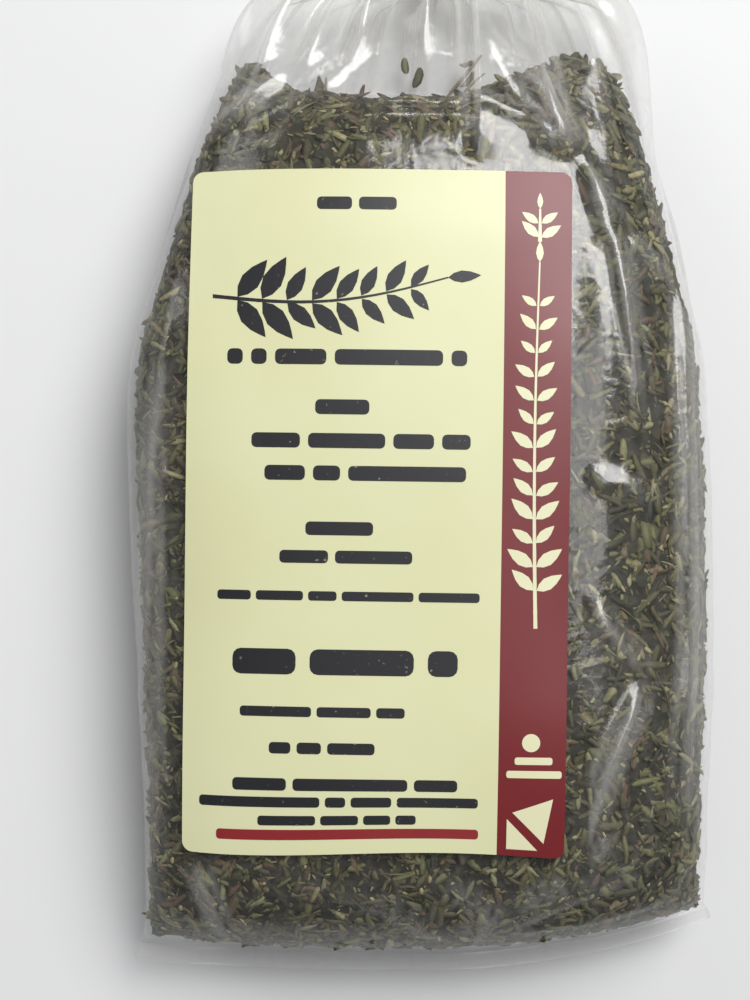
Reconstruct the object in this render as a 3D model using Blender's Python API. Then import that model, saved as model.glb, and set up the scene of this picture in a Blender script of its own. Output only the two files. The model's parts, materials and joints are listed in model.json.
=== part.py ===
"""Clear film bag of dried, rubbed thyme, lying on its back.

Run with: blender --background --python part.py

Metres, +Z up. The bag lies on z = 0 with its label side up. +Y runs from the welded
bottom seam to the open mouth, and the origin is under the middle of the whole bag.
Lengths are given in millimetres and multiplied by MM where a mesh is made.
"""

import math
import random
from typing import NamedTuple

import bmesh
import bpy
from mathutils import Matrix, Vector

MM = 0.001
SEED = 50

# The bag's own length coordinate runs from the seam (-75) to the mouth (+135);
# the model is shifted so that the middle of that length is the origin.
SEAM_END = -75.0
MOUTH_END = 135.0
LENGTH_SHIFT = -(SEAM_END + MOUTH_END) / 2

GAP = 0.3
FILM_WALL = 0.4
RING_POINTS = 36
RING_SPACING = 5.6

# The corners of the flat tube are drawn up and in when the bag is filled.
CORNER_RISE = 8.0
CORNER_RISE_END = -52.0

SEAM_INNER_EDGE = -71.0
FILL_CLEARANCE = 0.5
FILL_BUMP = 0.5
FILL_START = -70.4
FILL_ROUNDING = ((57.0, 0.0), (60.5, 1.4), (63.0, 4.0), (64.3, 7.5))

MOUTH_WAVES = 5
MOUTH_WAVE_HEIGHT = 2.6

LABEL_WIDTH = 57.0
LABEL_LENGTH = 102.0
LABEL_CENTRE = (-7.5, -1.7)
LABEL_TILT = math.radians(-0.8)
LABEL_CORNER = 2.5
LABEL_THICKNESS = 0.2
LABEL_HELD_REACH = 0.8
LABEL_GRID = (10, 18)

TIE_WIDTH = 3.4
TIE_THICKNESS = 0.5
TIE_RADIUS = 4.2
TIE_TAIL = 15.0
TIE_TURNS = 2.0
TIE_STRAND_OFFSET = 0.5
TIE_LOOP_OPENING = math.radians(32)

LEAF_COLUMNS = 7
LEAF_PITCH = 6.2
LEAF_ROWS = (67.6, 73.6)
LEAF_LENGTH = 4.6
LEAF_WIDTH = 1.3
LEAF_THICKNESS = 0.6
LEAF_LIFT = 1.3

STALK_ROWS = (66.6, 69.8, 73.0, 76.2)
STALK_LENGTH = 15.0
STALK_RADIUS = 0.45
STALK_LIFT = 3.4
STALK_BEND = 0.6


class Station(NamedTuple):
    """One cross-section of the bag: a flattened oval that follows the contents."""

    y: float
    centre: float
    half_width: float
    top: float
    bottom: float
    squareness: float
    wall: float


STATIONS = (
    Station(-75.0, 0.0, 46.0, 9.2, 8.2, 2.0, FILM_WALL),
    Station(-72.0, 0.0, 45.4, 9.6, 7.8, 2.0, FILM_WALL),
    Station(-69.5, 0.0, 44.4, 17.0, 3.0, 2.4, FILM_WALL),
    Station(-63.0, 0.0, 43.6, 25.0, -0.4, 2.7, FILM_WALL),
    Station(-53.0, 0.0, 43.4, 29.4, -1.0, 2.9, FILM_WALL),
    Station(-30.0, 0.0, 44.0, 31.0, -1.0, 3.0, FILM_WALL),
    Station(0.0, -0.6, 44.7, 31.0, -1.0, 3.0, FILM_WALL),
    Station(18.0, -1.2, 44.3, 30.8, -1.0, 3.0, FILM_WALL),
    Station(38.0, -0.8, 39.8, 30.0, -1.0, 2.9, FILM_WALL),
    Station(52.0, -0.4, 36.0, 28.2, -0.8, 2.7, FILM_WALL),
    Station(63.5, 0.4, 33.0, 24.8, 0.4, 2.5, FILM_WALL),
    Station(71.0, 0.8, 31.0, 21.4, 2.2, 2.3, FILM_WALL),
    Station(77.5, 1.4, 27.5, 18.4, 4.6, 2.1, FILM_WALL),
    Station(81.5, 2.4, 14.0, 16.4, 7.0, 2.0, 0.8),
    Station(84.0, 3.0, 3.5, 15.6, 8.6, 2.0, 2.5),
    Station(90.0, 3.0, 3.5, 15.6, 8.6, 2.0, 2.5),
    Station(94.0, 2.8, 9.5, 16.2, 7.6, 2.0, 0.8),
    Station(108.0, 2.0, 21.0, 16.6, 6.4, 2.0, FILM_WALL),
    Station(135.0, 1.0, 33.0, 16.0, 6.0, 2.0, FILM_WALL),
)


def slope_at(index, field):
    """Limited slope of one station value, so that the loft never overshoots a station."""
    if index in (0, len(STATIONS) - 1):
        return 0.0
    before, here, after = STATIONS[index - 1:index + 2]
    rise_in = (getattr(here, field) - getattr(before, field)) / (here.y - before.y)
    rise_out = (getattr(after, field) - getattr(here, field)) / (after.y - here.y)
    if rise_in * rise_out <= 0:
        return 0.0
    return 2 * rise_in * rise_out / (rise_in + rise_out)


def value_at(y, field):
    """Smooth value of one station field anywhere along the bag."""
    y = min(max(y, SEAM_END), MOUTH_END)
    index = max(i for i, station in enumerate(STATIONS[:-1]) if station.y <= y)
    start, end = STATIONS[index], STATIONS[index + 1]
    span = end.y - start.y
    t = (y - start.y) / span
    hold = (1 + 2 * t) * (1 - t) ** 2 * getattr(start, field)
    reach = t * t * (3 - 2 * t) * getattr(end, field)
    leave = t * (1 - t) ** 2 * span * slope_at(index, field)
    arrive = t * t * (t - 1) * span * slope_at(index + 1, field)
    return hold + reach + leave + arrive


def section_at(y):
    """Whole cross-section at y."""
    return Station(y, *(value_at(y, field) for field in Station._fields[1:]))


def signed_power(value, exponent):
    """Power that keeps the sign, as a superellipse needs."""
    return math.copysign(abs(value) ** exponent, value)


def mouth_wave(y, x):
    """Height of the ruffle that both film layers share past the tie."""
    flare = max(0.0, (y - STATIONS[-4].y) / (MOUTH_END - STATIONS[-4].y))
    half_width = STATIONS[-1].half_width
    return MOUTH_WAVE_HEIGHT * flare * math.sin(MOUTH_WAVES * math.pi * x / half_width / 2)


def corner_rise(y, x):
    """How far the bottom corners are drawn towards the mouth, fading out up the sides."""
    nearness = max(0.0, (CORNER_RISE_END - y) / (CORNER_RISE_END - SEAM_END))
    return CORNER_RISE * nearness * abs(x / STATIONS[0].half_width) ** 3


def ring_at(y, inset):
    """Closed ring of points of the bag at y, moved inwards, flat where it lies on the table."""
    section = section_at(y)
    half_width = section.half_width - inset
    middle = (section.top + section.bottom) / 2
    half_height = (section.top - section.bottom) / 2 - inset
    exponent = 2 / section.squareness
    points = []
    for step in range(RING_POINTS):
        angle = 2 * math.pi * step / RING_POINTS
        x = section.centre + half_width * signed_power(math.cos(angle), exponent)
        z = middle + half_height * signed_power(math.sin(angle), exponent)
        z = max(z + mouth_wave(y, x), inset)
        points.append(Vector((x, y + corner_rise(y, x) + LENGTH_SHIFT, z)) * MM)
    return points


def film_height(x, y, inset=0.0, upper=True):
    """Height of the film's upper or lower side over one spot."""
    section = section_at(y)
    middle = (section.top + section.bottom) / 2
    half_height = (section.top - section.bottom) / 2 - inset
    reach = min(abs((x - section.centre) / (section.half_width - inset)), 1.0)
    rise = half_height * (1 - reach ** section.squareness) ** (1 / section.squareness)
    return middle + rise if upper else max(middle - rise, inset)


def label_height(x, y):
    """Height of the label's underside: it bears on the film, then runs straight past the turn."""
    section = section_at(y)
    held = LABEL_HELD_REACH * section.half_width
    offset = x - section.centre
    spot = section.centre + min(max(offset, -held), held)
    step = math.copysign(1.0, offset)
    slope = film_height(spot, y) - film_height(spot - step, y)
    return film_height(spot, y) + slope * abs(x - spot) + GAP


def ring_places(start, end):
    """Lengths at which a loft gets a ring: every station, and evenly between them."""
    places = [start]
    for before, after in zip(STATIONS, STATIONS[1:]):
        steps = math.ceil((after.y - before.y) / RING_SPACING)
        for step in range(steps + 1):
            y = before.y + (after.y - before.y) * step / steps
            if places[-1] + 1e-6 < y < end:
                places.append(y)
    return places + [end]


def add_loft(mesh, rings, inward=False):
    """Skin a list of rings, and return the rings' vertices."""
    skinned = [[mesh.verts.new(point) for point in ring] for ring in rings]
    for near, far in zip(skinned, skinned[1:]):
        for step in range(len(near)):
            following = (step + 1) % len(near)
            face = [near[step], far[step], far[following], near[following]]
            mesh.faces.new(face[::-1] if inward else face)
    return skinned


def add_flat_cap(mesh, ring, reverse=False):
    """Close a flattened ring with a strip from its upper to its lower side."""
    count = len(ring)
    for step in range(count // 2):
        upper = (ring[step], ring[step + 1])
        lower = (ring[(count - step - 1) % count], ring[(count - step) % count])
        corners = list(dict.fromkeys((upper[0], upper[1], lower[0], lower[1])))
        mesh.faces.new(corners[::-1] if reverse else corners)


def sweep(mesh, frames, outline):
    """Sweep an outline through frames of (centre, width axis, height axis), with closed ends."""
    rings = [
        [mesh.verts.new((centre + across * u + up * v) * MM) for u, v in outline]
        for centre, across, up in frames
    ]
    for near, far in zip(rings, rings[1:]):
        for step in range(len(outline)):
            following = (step + 1) % len(outline)
            mesh.faces.new((near[step], near[following], far[following], far[step]))
    mesh.faces.new(rings[0][::-1])
    mesh.faces.new(rings[-1])


def finish(name, mesh, material, smooth_angle=35):
    """Turn a bmesh into a named object with its material."""
    data = bpy.data.meshes.new(name)
    mesh.to_mesh(data)
    mesh.free()
    data.shade_smooth()
    data.set_sharp_from_angle(angle=math.radians(smooth_angle))
    data.materials.append(material)
    part = bpy.data.objects.new(name, data)
    bpy.context.scene.collection.objects.link(part)
    return part


def make_material(name, colour, roughness, alpha=1.0):
    """Principled material of one plain colour."""
    material = bpy.data.materials.new(name)
    material.use_nodes = True
    shader = material.node_tree.nodes["Principled BSDF"]
    shader.inputs["Base Color"].default_value = (*colour, 1.0)
    shader.inputs["Roughness"].default_value = roughness
    shader.inputs["Metallic"].default_value = 0.0
    shader.inputs["Alpha"].default_value = alpha
    material.diffuse_color = (*colour, alpha)
    return material


def make_film(material):
    """The bag: one film wall, welded shut at the bottom and open at the gathered mouth."""
    mesh = bmesh.new()
    outer_places = ring_places(SEAM_END, MOUTH_END)
    inner_places = ring_places(SEAM_INNER_EDGE, MOUTH_END)
    outer = add_loft(mesh, [ring_at(y, 0.0) for y in outer_places])
    inner = add_loft(mesh, [ring_at(y, value_at(y, "wall")) for y in inner_places], inward=True)
    add_flat_cap(mesh, outer[0])
    add_flat_cap(mesh, inner[0], reverse=True)
    for step in range(RING_POINTS):
        following = (step + 1) % RING_POINTS
        lip = (outer[-1][step], inner[-1][step], inner[-1][following], outer[-1][following])
        mesh.faces.new(lip)
    return finish("bag_film", mesh, material)


def make_fill(material):
    """The packed herb: one bumpy mass that the film is drawn round."""
    chooser = random.Random(SEED)
    clearance = FILM_WALL + FILL_CLEARANCE
    sections = [(y, 0.0) for y in ring_places(FILL_START, FILL_ROUNDING[0][0])[:-1]]
    sections += FILL_ROUNDING
    rings = []
    for y, rounding in sections:
        shallow = ring_at(y, clearance + rounding)
        deep = ring_at(y, clearance + rounding + FILL_BUMP)
        rings.append([high.lerp(low, chooser.random()) for high, low in zip(shallow, deep)])
    mesh = bmesh.new()
    skinned = add_loft(mesh, rings)
    add_flat_cap(mesh, skinned[0])
    add_flat_cap(mesh, skinned[-1], reverse=True)
    return finish("thyme_fill", mesh, material, smooth_angle=20)


def make_label(material):
    """The sticker: a thin sheet with round corners that follows the film's upper side."""
    mesh = bmesh.new()
    bmesh.ops.create_grid(mesh, x_segments=LABEL_GRID[0], y_segments=LABEL_GRID[1], size=0.5)
    bmesh.ops.scale(mesh, vec=(LABEL_WIDTH, LABEL_LENGTH, 1.0), verts=mesh.verts[:])
    corners = [vertex for vertex in mesh.verts if len(vertex.link_edges) == 2]
    bmesh.ops.bevel(
        mesh, geom=corners, offset=LABEL_CORNER, segments=3, profile=0.5, affect="VERTICES"
    )
    turn = Matrix.Rotation(LABEL_TILT, 3, "Z")
    for vertex in mesh.verts:
        x, y, _ = turn @ vertex.co + Vector((*LABEL_CENTRE, 0.0))
        vertex.co = Vector((x, y + LENGTH_SHIFT, label_height(x, y))) * MM
    label = finish("label", mesh, material)
    wall = label.modifiers.new("thickness", "SOLIDIFY")
    wall.thickness = LABEL_THICKNESS * MM
    wall.offset = 1.0
    return label


def tie_frames():
    """Centre line of the tie: in along one strand, round the neck, out along the other."""
    neck = section_at((STATIONS[-5].y + STATIONS[-4].y) / 2)
    hub = Vector((neck.centre, neck.y + LENGTH_SHIFT, (neck.top + neck.bottom) / 2))
    along = Vector((0.0, -1.0, 0.0))
    twist_start = hub + Vector((TIE_RADIUS * 1.5, 0.0, 0.0))
    strand_steps = 22
    loop_steps = 26

    def strand(side):
        """Frames of one twisted strand, from the loop to its tip."""
        frames = []
        for step in range(strand_steps + 1):
            part = step / strand_steps
            angle = 2 * math.pi * TIE_TURNS * part
            across = Vector((0.0, -math.cos(angle), -math.sin(angle)))
            up = Vector((0.0, -math.sin(angle), math.cos(angle)))
            spread = TIE_STRAND_OFFSET + 1.6 * max(0.0, part - 0.8) / 0.2
            centre = twist_start + Vector((TIE_TAIL * part, 0.0, 0.0)) + up * side * spread
            frames.append((centre, across, up))
        return frames

    loop = []
    for step in range(loop_steps + 1):
        angle = TIE_LOOP_OPENING + (2 * math.pi - 2 * TIE_LOOP_OPENING) * step / loop_steps
        outward = Vector((math.cos(angle), 0.0, math.sin(angle)))
        loop.append((hub + outward * TIE_RADIUS, along, outward))
    lower = [(centre, across, -up) for centre, across, up in strand(-1)]
    return strand(1)[::-1] + loop + lower


def make_tie(material):
    """The twist tie: a flat ribbon with a wire ridge, wrapped once and twisted."""
    half_width = TIE_WIDTH / 2
    edge = TIE_THICKNESS / 4
    ridge = TIE_THICKNESS / 2
    outline = ((-half_width, -edge), (0.0, -ridge), (half_width, -edge),
               (half_width, edge), (0.0, ridge), (-half_width, edge))
    mesh = bmesh.new()
    sweep(mesh, tie_frames(), outline)
    return finish("twist_tie", mesh, material)


def headspace_point(x, y, lift):
    """Point above the film's lower side, in the empty end of the bag."""
    return Vector((x, y + LENGTH_SHIFT, film_height(x, y, FILM_WALL, upper=False) + lift))


def make_leaf(name, x, y, heading, material):
    """One loose leaf, curled along its length, lying on the film."""
    half = Vector((math.cos(heading), math.sin(heading))) * LEAF_LENGTH / 2
    tip = headspace_point(x + half.x, y + half.y, LEAF_LIFT)
    base = headspace_point(x - half.x, y - half.y, LEAF_LIFT)
    forward = (tip - base).normalized()
    sideways = Vector((0.0, 0.0, 1.0)).cross(forward).normalized()
    pose = Matrix((forward, sideways, forward.cross(sideways))).transposed()
    mesh = bmesh.new()
    bmesh.ops.create_uvsphere(mesh, u_segments=8, v_segments=5, radius=0.5)
    bmesh.ops.rotate(mesh, verts=mesh.verts[:], matrix=Matrix.Rotation(math.pi / 2, 3, "Y"))
    for vertex in mesh.verts:
        u, v, w = vertex.co
        curl = LEAF_THICKNESS * (4 * v * v - 2 * u * u)
        shape = Vector((u * LEAF_LENGTH, v * LEAF_WIDTH, w * LEAF_THICKNESS + curl * 0.5))
        vertex.co = ((tip + base) / 2 + pose @ shape) * MM
    return finish(name, mesh, material)


def make_stalk(name, x, y, heading, material):
    """One loose, slightly bent stalk, lying across the loose leaves."""
    outline = [
        (STALK_RADIUS * math.cos(math.radians(angle)), STALK_RADIUS * math.sin(math.radians(angle)))
        for angle in range(0, 360, 60)
    ]
    forward = Vector((math.cos(heading), math.sin(heading), 0.0))
    across = Vector((-forward.y, forward.x, 0.0))
    start = headspace_point(x, y, STALK_LIFT)
    frames = []
    for part in (0.0, 0.3, 0.65, 1.0):
        bend = STALK_BEND * math.sin(math.pi * part)
        centre = start + forward * STALK_LENGTH * (part - 0.5) + across * bend
        frames.append((centre, across * (1.15 - 0.3 * part), Vector((0.0, 0.0, 1.0))))
    mesh = bmesh.new()
    sweep(mesh, frames, outline)
    return finish(name, mesh, material)


def make_loose_bits(leaf_material, stalk_material):
    """Leaves and stalks that have slid into the empty end under the gathered neck."""
    chooser = random.Random(SEED + 1)
    centre = section_at(LEAF_ROWS[0]).centre
    number = 0
    for y in LEAF_ROWS:
        for column in range(LEAF_COLUMNS):
            number += 1
            x = centre + (column - (LEAF_COLUMNS - 1) / 2) * LEAF_PITCH
            heading = math.radians(chooser.uniform(-65, 65))
            make_leaf(f"thyme_leaf_{number:02d}", x, y, heading, leaf_material)
    for number, y in enumerate(STALK_ROWS, start=1):
        side = (-1) ** number
        x = centre + side * chooser.uniform(2.0, 6.0)
        heading = math.radians(chooser.uniform(-4, 4))
        make_stalk(f"thyme_stalk_{number:02d}", x, y, heading, stalk_material)


def main():
    """Build the bag and everything in and on it."""
    for old in list(bpy.data.objects):
        bpy.data.objects.remove(old, do_unlink=True)
    film = make_material("clear_film", (0.85, 0.86, 0.86), 0.12, alpha=0.3)
    herb = make_material("dried_thyme", (0.075, 0.080, 0.040), 0.8)
    stem = make_material("dried_stem", (0.26, 0.21, 0.12), 0.7)
    paper = make_material("label_paper", (0.78, 0.76, 0.44), 0.45)
    ribbon = make_material("tie_ribbon", (0.80, 0.78, 0.72), 0.4)
    make_fill(herb)
    make_film(film)
    make_label(paper)
    make_tie(ribbon)
    make_loose_bits(herb, stem)


main()
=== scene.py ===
"""Looks of a clear film bag of dried, rubbed thyme that lies on its back.

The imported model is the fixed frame. This script draws the film with its creases and
pleats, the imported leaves, the sticker with its print, and the closure round the neck.
"""
import json
import logging
import math
from collections.abc import Iterable, Sequence
from dataclasses import dataclass
from enum import Enum

import bmesh
import bpy
import numpy as np
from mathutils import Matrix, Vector, geometry

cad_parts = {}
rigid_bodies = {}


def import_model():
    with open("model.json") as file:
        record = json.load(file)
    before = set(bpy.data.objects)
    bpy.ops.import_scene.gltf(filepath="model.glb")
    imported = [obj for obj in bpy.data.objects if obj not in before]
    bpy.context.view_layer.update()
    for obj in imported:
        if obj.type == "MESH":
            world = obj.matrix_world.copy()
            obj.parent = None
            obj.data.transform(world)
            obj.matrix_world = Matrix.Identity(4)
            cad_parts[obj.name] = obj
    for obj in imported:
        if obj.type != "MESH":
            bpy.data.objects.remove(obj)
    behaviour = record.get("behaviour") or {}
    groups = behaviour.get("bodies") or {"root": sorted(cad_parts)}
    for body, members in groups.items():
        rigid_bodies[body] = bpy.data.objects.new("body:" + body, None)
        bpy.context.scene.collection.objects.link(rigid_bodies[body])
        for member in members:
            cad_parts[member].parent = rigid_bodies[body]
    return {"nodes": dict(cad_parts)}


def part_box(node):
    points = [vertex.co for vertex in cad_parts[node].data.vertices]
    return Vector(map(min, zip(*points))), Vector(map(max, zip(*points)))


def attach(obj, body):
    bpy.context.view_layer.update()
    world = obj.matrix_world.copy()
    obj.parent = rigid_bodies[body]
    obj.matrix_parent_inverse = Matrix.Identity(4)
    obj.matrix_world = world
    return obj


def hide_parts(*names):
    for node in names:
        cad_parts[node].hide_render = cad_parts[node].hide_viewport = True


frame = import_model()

MM = 0.001
LOG = logging.getLogger("thyme_bag")
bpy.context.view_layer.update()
FILM_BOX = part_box("bag_film")
SEAM_Y = FILM_BOX[0][1] / MM


# ---------------------------------------------------------------- small helpers


def linear(hex_colour: str) -> tuple[float, float, float, float]:
    """Turn an sRGB hex colour into linear values.

    Args:
        hex_colour: Six hex digits, with or without a leading hash.

    Returns:
        Red, green, blue and an alpha of 1.
    """
    digits = hex_colour.lstrip("#")
    channels = [int(digits[i:i + 2], 16) / 255 for i in (0, 2, 4)]
    bent = [c / 12.92 if c <= 0.04045 else ((c + 0.055) / 1.055) ** 2.4 for c in channels]
    return (*bent, 1.0)


def smoothstep(value: np.ndarray | float, start: float, end: float) -> np.ndarray:
    """Ease from 0 at start to 1 at end.

    Args:
        value: Where to read the ease.
        start: Value that gives 0.
        end: Value that gives 1.

    Returns:
        The eased values, from 0 to 1.
    """
    part = np.clip((np.asarray(value, float) - start) / (end - start), 0.0, 1.0)
    return part * part * (3 - 2 * part)


def deselect_all() -> None:
    """Deselect every object, so that an operator acts only on what is picked next."""
    for thing in bpy.context.view_layer.objects:
        thing.select_set(False)


def new_piece(name: str, points: np.ndarray, faces: Sequence[Sequence[int]]) -> bpy.types.Object:
    """Make a smooth-shaded mesh object whose place is in its mesh.

    Args:
        name: The piece's name.
        points: Vertex places in millimetres, one row each.
        faces: Vertex numbers of each face.

    Returns:
        The new object, linked to the scene.
    """
    data = bpy.data.meshes.new(name)
    data.from_pydata((np.asarray(points) * MM).tolist(), [], faces)
    data.shade_smooth()
    piece = bpy.data.objects.new(name, data)
    bpy.context.scene.collection.objects.link(piece)
    return piece


def add_attribute(piece: bpy.types.Object, name: str, values: np.ndarray) -> None:
    """Store one number per vertex for the piece's material to read.

    Args:
        piece: The mesh object.
        name: The attribute's name.
        values: One value per vertex.
    """
    layer = piece.data.attributes.new(name, "FLOAT", "POINT")
    layer.data.foreach_set("value", np.asarray(values, np.float32).ravel())


def add_node(
    tree: bpy.types.NodeTree, kind: str, links: dict | None = None, **settings: object
) -> bpy.types.Node:
    """Add a shader node with its settings, values and links.

    Args:
        tree: The node tree.
        kind: The node's type name.
        links: Input names or numbers, each with a value or a socket to link from.
        **settings: Properties of the node itself.

    Returns:
        The new node.
    """
    made = tree.nodes.new(kind)
    for name, value in settings.items():
        setattr(made, name, value)
    for key, value in (links or {}).items():
        if isinstance(value, bpy.types.NodeSocket):
            tree.links.new(value, made.inputs[key])
        else:
            made.inputs[key].default_value = value
    return made


def set_ramp(node: bpy.types.Node, stops: Sequence[tuple[float, str]]) -> bpy.types.Node:
    """Give a colour ramp its stops.

    Args:
        node: The colour ramp node.
        stops: Place and sRGB hex colour of each stop.

    Returns:
        The same node.
    """
    ramp = node.color_ramp
    while len(ramp.elements) < len(stops):
        ramp.elements.new(1.0)
    for element, (place, colour) in zip(ramp.elements, stops):
        element.position = place
        element.color = linear(colour)
    return node


def new_material(name: str) -> tuple[bpy.types.Material, bpy.types.NodeTree, bpy.types.Node]:
    """Start a node material.

    Args:
        name: The material's name.

    Returns:
        The material, its node tree, and its Principled shader.
    """
    material = bpy.data.materials.new(name)
    material.use_nodes = True
    tree = material.node_tree
    return material, tree, tree.nodes["Principled BSDF"]


# ---------------------------------------------------------------- finishes


@dataclass(frozen=True)
class DriedLeaf:
    """Dried thyme leaf: matte and felted, olive to grey-green, some pieces turned brown."""

    name: str = "dried_thyme_leaf"
    roughness: float = 0.72
    tones: tuple[tuple[float, str], ...] = (
        (0.00, "26241A"),
        (0.20, "47442A"),
        (0.40, "605E3C"),
        (0.56, "74744B"),
        (0.66, "57513A"),
        (0.78, "69503D"),
        (0.87, "87875F"),
        (0.96, "AC9F78"),
    )
    mottle_mm: float = 0.7

    def material(self) -> bpy.types.Material:
        """Build the material.

        Returns:
            A material whose tone comes from each leaf, mottled along the blade.
        """
        material, tree, shader = new_material(self.name)
        place = add_node(tree, "ShaderNodeTexCoord").outputs["Object"]
        tone = add_node(tree, "ShaderNodeAttribute", attribute_name="tone").outputs["Fac"]
        fine = {"Vector": place, "Scale": 1 / (self.mottle_mm * MM), "Detail": 3.0}
        mottle = add_node(tree, "ShaderNodeTexNoise", fine).outputs["Fac"]
        shift = add_node(
            tree, "ShaderNodeMath", {0: mottle, 1: 0.22, 2: -0.11}, operation="MULTIPLY_ADD"
        )
        mixed = add_node(tree, "ShaderNodeMath", {0: tone, 1: shift.outputs[0]}, operation="ADD")
        ramp = set_ramp(
            add_node(tree, "ShaderNodeValToRGB", {"Fac": mixed.outputs[0]}), self.tones
        )
        tree.links.new(ramp.outputs["Color"], shader.inputs["Base Color"])
        bump = add_node(
            tree, "ShaderNodeBump", {"Height": mottle, "Strength": 0.5, "Distance": 0.12 * MM}
        )
        tree.links.new(bump.outputs["Normal"], shader.inputs["Normal"])
        shader.inputs["Roughness"].default_value = self.roughness
        return material


@dataclass(frozen=True)
class PackedHerb:
    """The herb behind the outer leaves: the same stuff in shade, so darker and broken up."""

    name: str = "packed_thyme"
    dark: str = "2B291C"
    light: str = "5A563E"
    leaf_mm: float = 1.6

    def material(self) -> bpy.types.Material:
        """Build the material.

        Returns:
            A dark material with leaf-sized cells.
        """
        material, tree, shader = new_material(self.name)
        place = add_node(tree, "ShaderNodeTexCoord").outputs["Object"]
        cells = add_node(
            tree, "ShaderNodeTexVoronoi", {"Vector": place, "Scale": 1 / (self.leaf_mm * MM)}
        )
        stops = ((0.0, self.dark), (0.6, self.dark), (1.0, self.light))
        ramp = set_ramp(
            add_node(tree, "ShaderNodeValToRGB", {"Fac": cells.outputs["Color"]}), stops
        )
        tree.links.new(ramp.outputs["Color"], shader.inputs["Base Color"])
        height = {"Height": cells.outputs["Distance"], "Strength": 1.0, "Distance": 0.6 * MM}
        bump = add_node(tree, "ShaderNodeBump", height)
        tree.links.new(bump.outputs["Normal"], shader.inputs["Normal"])
        shader.inputs["Roughness"].default_value = 0.85
        return material


@dataclass(frozen=True)
class DriedStem:
    """Dried thyme stalk: woody straw to brown, with fine lengthwise streaks."""

    name: str = "dried_thyme_stalk"
    tones: tuple[tuple[float, str], ...] = (
        (0.2, "6B5238"),
        (0.5, "9A8A66"),
        (0.8, "B8AC88"),
    )

    def material(self) -> bpy.types.Material:
        """Build the material.

        Returns:
            A straw-coloured material that varies from stalk to stalk.
        """
        material, tree, shader = new_material(self.name)
        place = add_node(tree, "ShaderNodeTexCoord").outputs["Object"]
        streaks = {"Vector": place, "Scale": 1 / (2.5 * MM), "Detail": 4.0}
        noise = add_node(tree, "ShaderNodeTexNoise", streaks)
        ramp = set_ramp(
            add_node(tree, "ShaderNodeValToRGB", {"Fac": noise.outputs["Fac"]}), self.tones
        )
        tree.links.new(ramp.outputs["Color"], shader.inputs["Base Color"])
        shader.inputs["Roughness"].default_value = 0.65
        return material


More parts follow.
